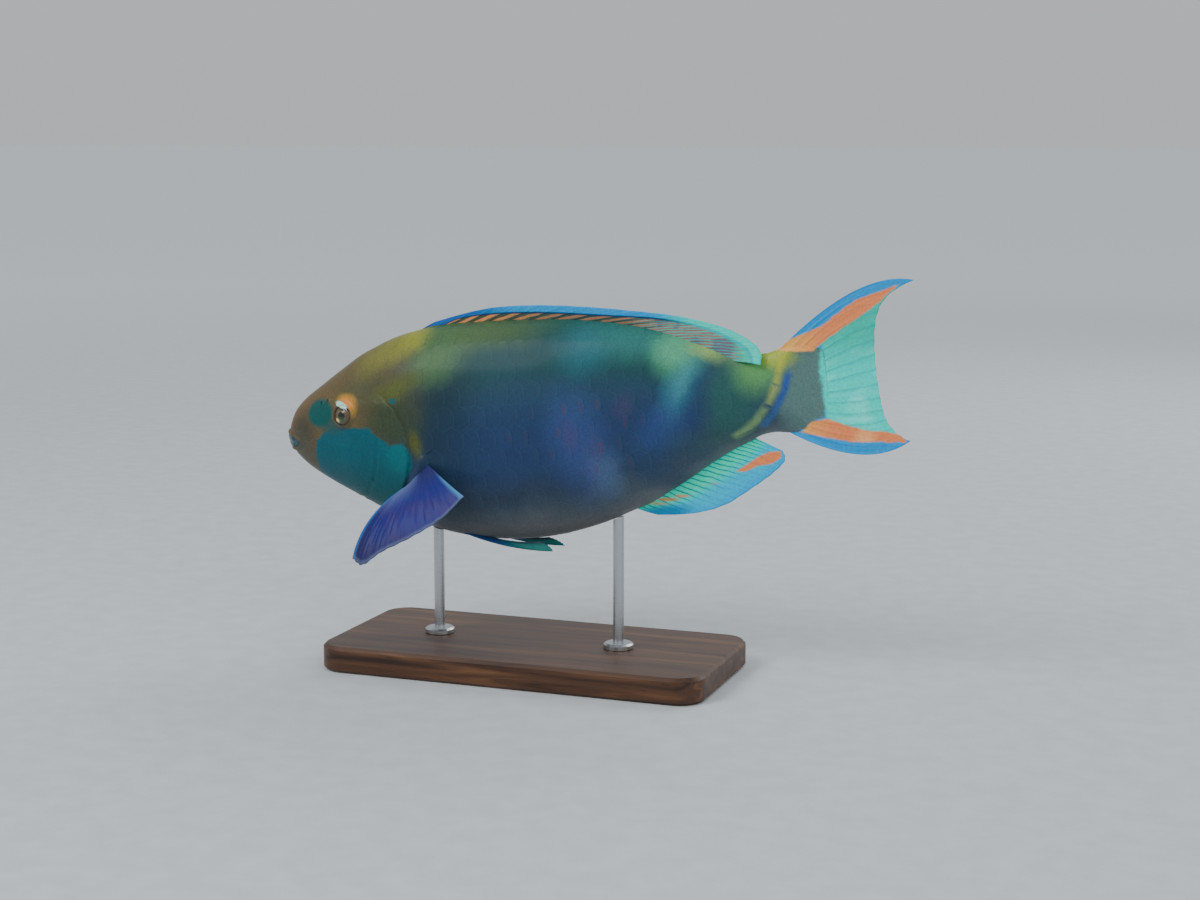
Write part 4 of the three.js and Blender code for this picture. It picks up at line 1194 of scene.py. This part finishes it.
# Sizes and colours that a user may change
def length_property(name, description, size, smallest, largest):
    """A length for the panel, from millimetres."""
    return FloatProperty(name=name, description=description, default=size * MM, min=smallest * MM,
                         max=largest * MM, unit="LENGTH", precision=5)


class ParrotfishCoat(bpy.types.PropertyGroup):
    depth: length_property("Coat depth", "How deep the skin lies under the coat", 0.6, 0, 2)
    pitch: length_property("Scale pitch", "From one scale to the next along a row", 10, 5, 20)
    row_spacing: length_property("Row spacing", "From one row of scales to the next", 12.6, 5, 20)
    head_pitch: length_property("Head scale pitch", "Pitch of the gill cover's scales", 8.6, 4, 20)
    head_row_spacing: length_property("Head row spacing", "Spacing of the gill cover's rows", 10.4, 4,
                                      20)
    lift: length_property("Scale lift", "How far a scale's hind edge stands off the skin", 0.14, 0, 2)
    thickness: length_property("Scale thickness", "Thickness at a scale's root", 0.16, 0.1, 1)


class ParrotfishFins(bpy.types.PropertyGroup):
    columns_per_web: IntProperty(name="Columns per web", description="Mesh columns from ray to ray",
                                 default=12, min=4, max=24)


def paint_property(name, description, code):
    """A colour for the panel, from an sRGB hex code."""
    return FloatVectorProperty(name=name, description=description, default=linear(code)[:3], size=3,
                               min=0, max=1, subtype="COLOR")


class ParrotfishPaints(bpy.types.PropertyGroup):
    flank: paint_property("Flank", "The middle of the side", "263a5c")
    back: paint_property("Back", "Along the dorsal fin", "225042")
    nape: paint_property("Nape", "The yellow patch before the dorsal fin", "a4a634")
    head: paint_property("Head", "The forehead and the snout", "625438")
    cheek: paint_property("Cheek", "The patch under the eye", "155663")
    lore: paint_property("Lore", "The round spot before the eye", "0a504e")
    eye_patch: paint_property("Eye patch", "The patch behind and over the eye", "d88a42")
    crescent: paint_property("Crescent", "The pale arc over the eye", "bce8d8")
    band: paint_property("Pale band", "The band across the rear of the side", "54a880")
    stem: paint_property("Tail stem", "The dark green front of the tail stem", "2c5854")
    tail_base: paint_property("Tail base", "The grey-green root of the tail fin", "587874")
    fin_blue: paint_property("Fin edge", "The blue edges of the fins", "0096da")
    fin_orange: paint_property("Fin orange", "The orange bands and streaks of the fins", "ea8856")
    fin_turquoise: paint_property("Tail web", "The turquoise web of the tail fin", "00e2d2")
    fin_mint: paint_property("Anal web", "The mint web of the anal fin", "00e2be")
    pectoral: paint_property("Pectoral", "The violet web of the pectoral fins", "1a2278")
    scale_bar: paint_property("Scale bar", "The rust bar near the hind edge of a scale", "5e3a48")
    # A painted highlight along a scale's hind edge
    scale_rim_highlight: paint_property("Scale margin", "The hind edge of a scale", "4f8a90")
    beak: paint_property("Beak", "The enamel of the beak", "15313a")
    wood: paint_property("Wood", "The lighter grain of the stand's base", "6f4a2e")


class PARROTFISH_OT_skin(bpy.types.Operator):
    """One skin over the head, the gill covers, the trunk and the tail stem"""
    bl_idname = "parrotfish.skin"
    bl_label = "Skin"

    def execute(self, context):
        def on_body(flat):
            s = np.minimum(flat[:, 0] / BODY_SHARE, 1) * LAST_SECTION
            return s, (flat[:, 1] - 0.25) * 2 * np.pi

        bm = flat_grid(SKIN_COLUMNS, SKIN_ROWS)
        for _ in range(SKIN_ROUNDS):
            bm.verts.ensure_lookup_table()
            bm.verts.index_update()
            points = skin_point(*on_body(flat_points(bm)))
            ends = np.array([[e.verts[0].index, e.verts[1].index] for e in bm.edges])
            long = np.linalg.norm(points[ends[:, 0]] - points[ends[:, 1]], axis=-1)
            wanted = wanted_edge((points[ends[:, 0]] + points[ends[:, 1]]) / 2)
            edges = [e for e, cut in zip(bm.edges, long > 1.25 * wanted) if cut]
            if not edges:
                break
            bmesh.ops.subdivide_edges(bm, edges=edges, cuts=1, use_grid_fill=True)
        flat = flat_points(bm)
        s, a = on_body(flat)
        points = skin_point(s, a)
        end = eased(flat[:, 0], BODY_SHARE, 1.0)[:, None]
        out = skin_normal(s, a) * relief(points)[:, None]
        tip = np.array([SECTIONS[-1][0] + 0.6, 0, SECTIONS[-1][4]])
        points = blended(thinned(points + out), tip, end)
        # The layer keeps each corner's place in the fish's own frame, while those that meet are joined
        layer = bm.verts.layers.float_vector.new("at")
        for vert, point in zip(bm.verts, points):
            vert[layer] = point
        laid_out(bm, points)
        flesh = ["head", "trunk", "tail_stem", "gill_cover_left", "gill_cover_right"]
        piece = finished("body_skin", bm, skin_material(), flesh, weld=2e-5)
        kept = np.zeros(len(piece.data.vertices) * 3, np.float32)
        piece.data.attributes["at"].data.foreach_get("vector", kept)
        for key, values in body_marks(kept.reshape(-1, 3).astype(float)).items():
            add_attribute(piece.data, key, values)
        piece.data.attributes.remove(piece.data.attributes["at"])
        return {"FINISHED"}


class PARROTFISH_OT_scales(bpy.types.Operator):
    """Overlapping scales over the skin"""
    bl_idname = "parrotfish.scales"
    bl_label = "Scales"

    def execute(self, context):
        coat_of_scales(context.scene.parrotfish_coat)
        return {"FINISHED"}


class PARROTFISH_OT_fins(bpy.types.Operator):
    """The dorsal, anal, tail, pectoral and pelvic fins"""
    bl_idname = "parrotfish.fins"
    bl_label = "Fins"

    def execute(self, context):
        fin("dorsal_fin_web", dorsal_rays(), fin_material("dorsal fin membrane", paint_dorsal),
            ["dorsal_fin"], rows=22, unbranched=DORSAL_SPINES)
        fin("anal_fin_web", anal_rays(), fin_material("anal fin membrane", paint_anal),
            ["anal_fin"], rows=26, unbranched=ANAL_SPINES, marks={"orange_edge": [ANAL_ORANGE]})
        marks = {"orange_edge": CAUDAL_ORANGE, "teal_edge": [CAUDAL_TEAL], "root_edge": [CAUDAL_ROOT]}
        fin("tail_fin_web", caudal_rays(), fin_material("tail fin membrane", paint_caudal),
            ["tail_fin"], rows=48, marks=marks)
        pectoral = fin_material("pectoral fin membrane", paint_pectoral)
        pelvic = fin_material("pelvic fin membrane", paint_pelvic)
        for side, word in ((-1, "left"), (1, "right")):
            fin("pectoral_web_" + word, pectoral_rays(side), pectoral, ["pectoral_fin_" + word],
                rows=40, root_half=PECTORAL_ROOT_HALF)
            fin("pelvic_web_" + word, pelvic_rays(side), pelvic, ["pelvic_fin_" + word],
                rows=30, root_half=PELVIC_ROOT_HALF, unbranched=PELVIC_SPINES)
        return {"FINISHED"}


def eye_material():
    """A glass eye: a dark oval pupil, a brown iris with painted gold and green reflections, a clear wet
    coat.
    """
    material, tree = new_material("glass eye")
    on_eye = node(tree, "Attribute", attribute_name="on_eye", out="Vector")
    across, _, up = node(tree, "SeparateXYZ", (on_eye,)).node.outputs
    flat = node(tree, "CombineXYZ", (across, 0.0, up))
    r = node(tree, "VectorMath", (flat,), "Value", operation="LENGTH")
    angle = node(tree, "Math", (up, across), operation="ARCTAN2")
    # Fibres run out from the pupil, about 0.3 mm apart
    spin = node(tree, "CombineXYZ", (node(tree, "Math", (angle,), operation="COSINE"),
                                     node(tree, "Math", (angle,), operation="SINE"),
                                     node(tree, "Math", (r, 0.12), operation="MULTIPLY")))
    fibres = node(tree, "TexNoise", {"Vector": spin, "Scale": 9.0, "Detail": 5.0, "Roughness": 0.65})
    level = node(tree, "Math", (fibres, 0.7, r), operation="MULTIPLY_ADD")
    colour = layered(tree, "10160f", ("6a5434", level, 2.6, 2.9), ("4c4430", level, 2.95, 3.8),
                     ("544432", level, 3.8, 5.4))
    colour = toned(tree, colour, fibres, 0.7, 1.35)
    # Painted reflections: a green one low over the pupil and a gold glint low in front of it
    colour = spotted(tree, colour, on_eye, ("2e5238", (-0.6, -2.6), (2.6, 1.8), 0, 0.8, 0.7),
                     ("e8c880", (-3.5, -2.7), (1.5, 1.1), 30, 0.6, 1.0))
    # A dark rim round the iris, partly painted shade where the socket's edge meets the eye
    colour = painted(tree, colour, "2a2218", r, 5.0, 5.6, 0.8)
    # The pale crescent over the eye reaches down over its top, with a dark line under it as painted
    # shadow
    colour = spotted(tree, colour, on_eye, ("0c0e0a", (-0.2, 5.2), (5.4, 1.7), 20, 0.25, 0.9),
                     ("crescent", (-0.6, 6.3), (4.8, 1.7), 20, 0.2, 1.0))
    finish_of(tree, colour, 0.35, 0.2, 0.7, 0.02)
    return material


class PARROTFISH_OT_eyes(bpy.types.Operator):
    """The two eyes, each set in its socket"""
    bl_idname = "parrotfish.eyes"
    bl_label = "Eyes"

    def execute(self, context):
        material = eye_material()
        for side, word in ((-1, "left"), (1, "right")):
            at, out = side_spot(*EYE, side)
            bm = bmesh.new()
            bmesh.ops.create_uvsphere(bm, u_segments=56, v_segments=40, radius=1)
            in_one_order(bm)
            flat = flat_points(bm)
            r = np.hypot(flat[:, 0], flat[:, 1]) * EYE_RADIUS
            front = flat[:, 2] > 0
            dome = flat[:, 2] * EYE_DEPTH
            # The lens bulges through the pupil, and the iris round it is a shallow dish
            dome = dome - np.where(front, 0.35 * ridge(r, 3.6, 0.8), 0)
            turn = Vector((0, 0, 1)).rotation_difference(Vector(out)).to_matrix()
            local = np.stack([flat[:, 0] * EYE_RADIUS, flat[:, 1] * EYE_RADIUS, dome - EYE_SUNK], -1)
            points = at + local @ np.array(turn).T
            laid_out(bm, points)
            off = points - at
            marks = {"on_eye": np.stack([off[:, 0], np.where(front, 1, 0), off[:, 2]], -1)}
            finished("eye_ball_" + word, bm, material, ["eye_" + word], marks, weld=0)
        return {"FINISHED"}


def beak_material():
    """Fused beak teeth: dense enamel, blue-green where algae stain it and paler at the biting edge."""
    material, tree = new_material("beak enamel")
    on_beak = node(tree, "Attribute", attribute_name="on_beak", out="Vector")
    height = node(tree, "SeparateXYZ", (on_beak,)).node.outputs[1]
    at = node(tree, "Attribute", attribute_name="fish_at", out="Vector")
    stain = node(tree, "TexNoise", {"Vector": at, "Scale": 1 / 2, "Detail": 4.0})
    colour = layered(tree, "beak", ("2c5058", stain, 0.35, 0.65), ("5c6c6c", height, 0.85, 1.0, 0.6))
    # Single teeth fused in the beak show as cells about 1 mm across
    cells = node(tree, "TexVoronoi", {"Vector": at, "Scale": 1.0})
    finish_of(tree, colour, 0.28, 0.4, 0.3, 0.12, (cells, 0.3, 0.15))
    return material


class PARROTFISH_OT_beak(bpy.types.Operator):
    """The upper and lower beak plates between the lips"""
    bl_idname = "parrotfish.beak"
    bl_label = "Beak"

    def execute(self, context):
        material = beak_material()
        near = PLACES < 3
        _, top, bottom, _, _ = section(PLACES[near])
        for word, root, edge in (("upper", UPPER_BEAK_HEIGHT + 0.6, 0.12),
                                 ("lower", -LOWER_BEAK_HEIGHT - 0.6, -0.12)):
            bm = flat_slab(64, 10)
            flat = flat_points(bm)
            m, k, face = 2 * flat[:, 0] - 1, flat[:, 1], flat[:, 2]
            reach = np.abs(m)
            over = blended(root, edge, k) * blended(1.0, 0.55, reach ** 2)
            tooth = 0.10 * np.abs(np.sin(18 * np.pi * reach)) * eased(k, 0.8, 1)
            over = over - math.copysign(1, root) * tooth * (1 - reach)
            front = BEAK_FROM_X
            for _ in range(3):
                x = front + (MOUTH_CORNER_X - front) * reach ** 1.9
                z = MOUTH_HEIGHT - MOUTH_DROOP * x + over
                above, below = np.interp(z, top, PLACE_X[near]), np.interp(-z, -bottom, PLACE_X[near])
                front = np.where(z > -3.2, above, below)
            s, a = place_of(x), angle_of(x, z)
            a = np.where(m < 0, np.pi - a, a)
            seam = 0.3 * ridge(m, 0, 0.02)
            # The plate dips under the lip at its root and into the mouth's corner at its ends
            dip = 1.2 * (1 - eased(k, 0, 0.3)) + 1.6 * eased(reach, 0.7, 1)
            out = np.where(face > 0, 0.75 - 0.35 * k ** 3 - seam - dip, -2.8 + 0.6 * k)
            p = skin_point(s, a)
            p[:, 1] = np.where(np.abs(m) < 1e-6, 0, p[:, 1])
            points = p + skin_normal(s, a) * out[:, None]
            laid_out(bm, points)
            marks = {"fish_at": points, "on_beak": np.stack([m, k, face], -1)}
            finished("beak_plate_" + word, bm, material, ["beak_" + word], marks, weld=0)
        return {"FINISHED"}


def walnut_material():
    """Oiled walnut, planed along its length: straight dark grain about 6 mm apart and open pores."""
    material, tree = new_material("oiled walnut")
    at = node(tree, "TexCoord", out="Object")
    along_grain = node(tree, "Mapping", {0: at, 3: (9, 120, 160)})
    grain = node(tree, "TexNoise", {"Vector": along_grain, "Scale": 1.0, "Detail": 6.0,
                                    "Distortion": 0.6})
    along_pores = node(tree, "Mapping", {0: at, 3: (60, 1400, 1400)})
    pores = node(tree, "TexNoise", {"Vector": along_pores, "Scale": 1.0, "Detail": 3.0})
    colour = layered(tree, "2c1a10", ("4b2f1d", grain, 0.3, 0.5), ("wood", grain, 0.5, 0.74),
                     ("1c110a", pores, 0.6, 0.72, 0.6))
    finish_of(tree, colour, 0.42, 0.4, 0.0, 0.1, (pores, 0.2, 0.1))
    return material


def steel_material():
    """Stainless steel rod, brushed round: fine bright rings."""
    material, tree = new_material("brushed stainless steel")
    at = node(tree, "TexCoord", out="Object")
    brushed = node(tree, "Mapping", {0: at, 3: (20, 20, 4000)})
    lines = node(tree, "TexNoise", {"Vector": brushed, "Scale": 1.0, "Detail": 2.0})
    shader = tree.nodes["Principled BSDF"]
    shader.inputs["Base Color"].default_value = linear("b8babd")
    shader.inputs["Metallic"].default_value = 1.0
    tree.links.new(node(tree, "MapRange", (lines, 0.3, 0.7, 0.24, 0.4)), shader.inputs["Roughness"])
    tree.links.new(node(tree, "Bump", {"Height": lines, "Strength": 0.1, "Distance": 0.05 * MM}),
                   shader.inputs["Normal"])
    return material


def floor_material():
    """Matt grey paper with a faint fibre."""
    material, tree = new_material("matt paper floor")
    at = node(tree, "TexCoord", out="Object")
    fibre = node(tree, "TexNoise", {"Vector": at, "Scale": 60.0, "Detail": 4.0})
    # The paper is paler away from the model, where the lamps reach it less
    away = node(tree, "VectorMath", (at,), "Value", operation="LENGTH")
    colour = layered(tree, "c6cacd", ("cdd1d4", fibre, 0.3, 0.7), ("eef0f1", away, 0.8, 3.5))
    finish_of(tree, colour, 0.95, 0.0, 0.0, 0.5)
    return material


def studio_world():
    """Soft light from above, which near the horizon is as bright as the far floor."""
    world = bpy.data.worlds.new("studio")
    world.use_nodes = True
    tree = world.node_tree
    up = node(tree, "SeparateXYZ", (node(tree, "TexCoord", out="Generated"),)).node.outputs[2]
    background = tree.nodes["Background"]
    tree.links.new(painted(tree, "ced3d7", "dfe5e9", up, 0.0, 0.45), background.inputs[0])
    background.inputs[1].default_value = 0.85
    return world


class PARROTFISH_OT_stand(bpy.types.Operator):
    """The finishes of the wooden base and the steel rods"""
    bl_idname = "parrotfish.stand"
    bl_label = "Stand"

    def execute(self, context):
        finishes = {"stand_base": (walnut_material(), "stand_wood")}
        steel = steel_material()
        for name in ("stand_rod_front", "stand_rod_rear"):
            finishes[name] = (steel, "stand_steel")
        for name, (material, slot) in finishes.items():
            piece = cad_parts[name]
            piece.data.materials.clear()
            piece.data.materials.append(material)
        return {"FINISHED"}


class PARROTFISH_OT_stage(bpy.types.Operator):
    """The floor, the lights and the camera at the photograph's angle"""
    bl_idname = "parrotfish.stage"
    bl_label = "Stage"

    def execute(self, context):
        bm = bmesh.new()
        bmesh.ops.create_grid(bm, x_segments=1, y_segments=1, size=FLOOR_HALF)
        mesh = bpy.data.meshes.new("floor")
        bm.to_mesh(mesh)
        bm.free()
        floor = bpy.data.objects.new("floor", mesh)
        mesh.materials.append(floor_material())
        context.scene.collection.objects.link(floor)
        context.scene.world = studio_world()
        for name, place, size, power in LAMPS:
            light = bpy.data.lights.new(name, "AREA")
            light.size = size
            light.energy = power
            lamp = bpy.data.objects.new(name, light)
            lamp.location = place
            aim = Vector(LAMPS_AIM) - lamp.location
            lamp.rotation_euler = aim.to_track_quat("-Z", "Y").to_euler()
            context.scene.collection.objects.link(lamp)
        camera = bpy.data.objects.new("camera", bpy.data.cameras.new("camera"))
        camera.data.lens = CAMERA_LENS
        camera.data.clip_start = 0.05
        azimuth, elevation = math.radians(CAMERA_AZIMUTH), math.radians(CAMERA_ELEVATION)
        level = math.cos(elevation)
        back = Vector((math.sin(azimuth) * level, -math.cos(azimuth) * level, math.sin(elevation)))
        right = Vector((math.cos(azimuth), math.sin(azimuth), 0))
        target = Vector(CAMERA_TARGET)
        camera.location = target + back * CAMERA_DISTANCE
        aim = target - back.cross(right) * (CAMERA_DISTANCE * CAMERA_TILT)
        camera.rotation_euler = (aim - camera.location).to_track_quat("-Z", "Y").to_euler()
        context.scene.collection.objects.link(camera)
        context.scene.camera = camera
        return {"FINISHED"}


class PARROTFISH_PT_panel(bpy.types.Panel):
    """Makes the model piece by piece"""
    bl_label = "Parrotfish"
    bl_idname = "PARROTFISH_PT_panel"
    bl_space_type = "VIEW_3D"
    bl_region_type = "UI"
    bl_category = "Parrotfish"

    def draw(self, context):
        for group in (context.scene.parrotfish_coat, context.scene.parrotfish_fins,
                      context.scene.parrotfish_paints):
            for name in group.__annotations__:
                self.layout.prop(group, name)
        for step in STEPS:
            self.layout.operator(step.bl_idname)


STEPS = (PARROTFISH_OT_stage, PARROTFISH_OT_skin, PARROTFISH_OT_scales, PARROTFISH_OT_fins,
         PARROTFISH_OT_eyes, PARROTFISH_OT_beak, PARROTFISH_OT_stand)
CLASSES = (ParrotfishCoat, ParrotfishFins, ParrotfishPaints, *STEPS, PARROTFISH_PT_panel)


def register():
    for made in CLASSES:
        bpy.utils.register_class(made)
    bpy.types.Scene.parrotfish_coat = PointerProperty(type=ParrotfishCoat)
    bpy.types.Scene.parrotfish_fins = PointerProperty(type=ParrotfishFins)
    bpy.types.Scene.parrotfish_paints = PointerProperty(type=ParrotfishPaints)


def unregister():
    del bpy.types.Scene.parrotfish_paints
    del bpy.types.Scene.parrotfish_fins
    del bpy.types.Scene.parrotfish_coat
    for made in reversed(CLASSES):
        bpy.utils.unregister_class(made)


def main():
    register()
    for step in STEPS:
        getattr(bpy.ops.parrotfish, step.bl_idname.split(".")[1])()


if __name__ == "__main__":
    main()
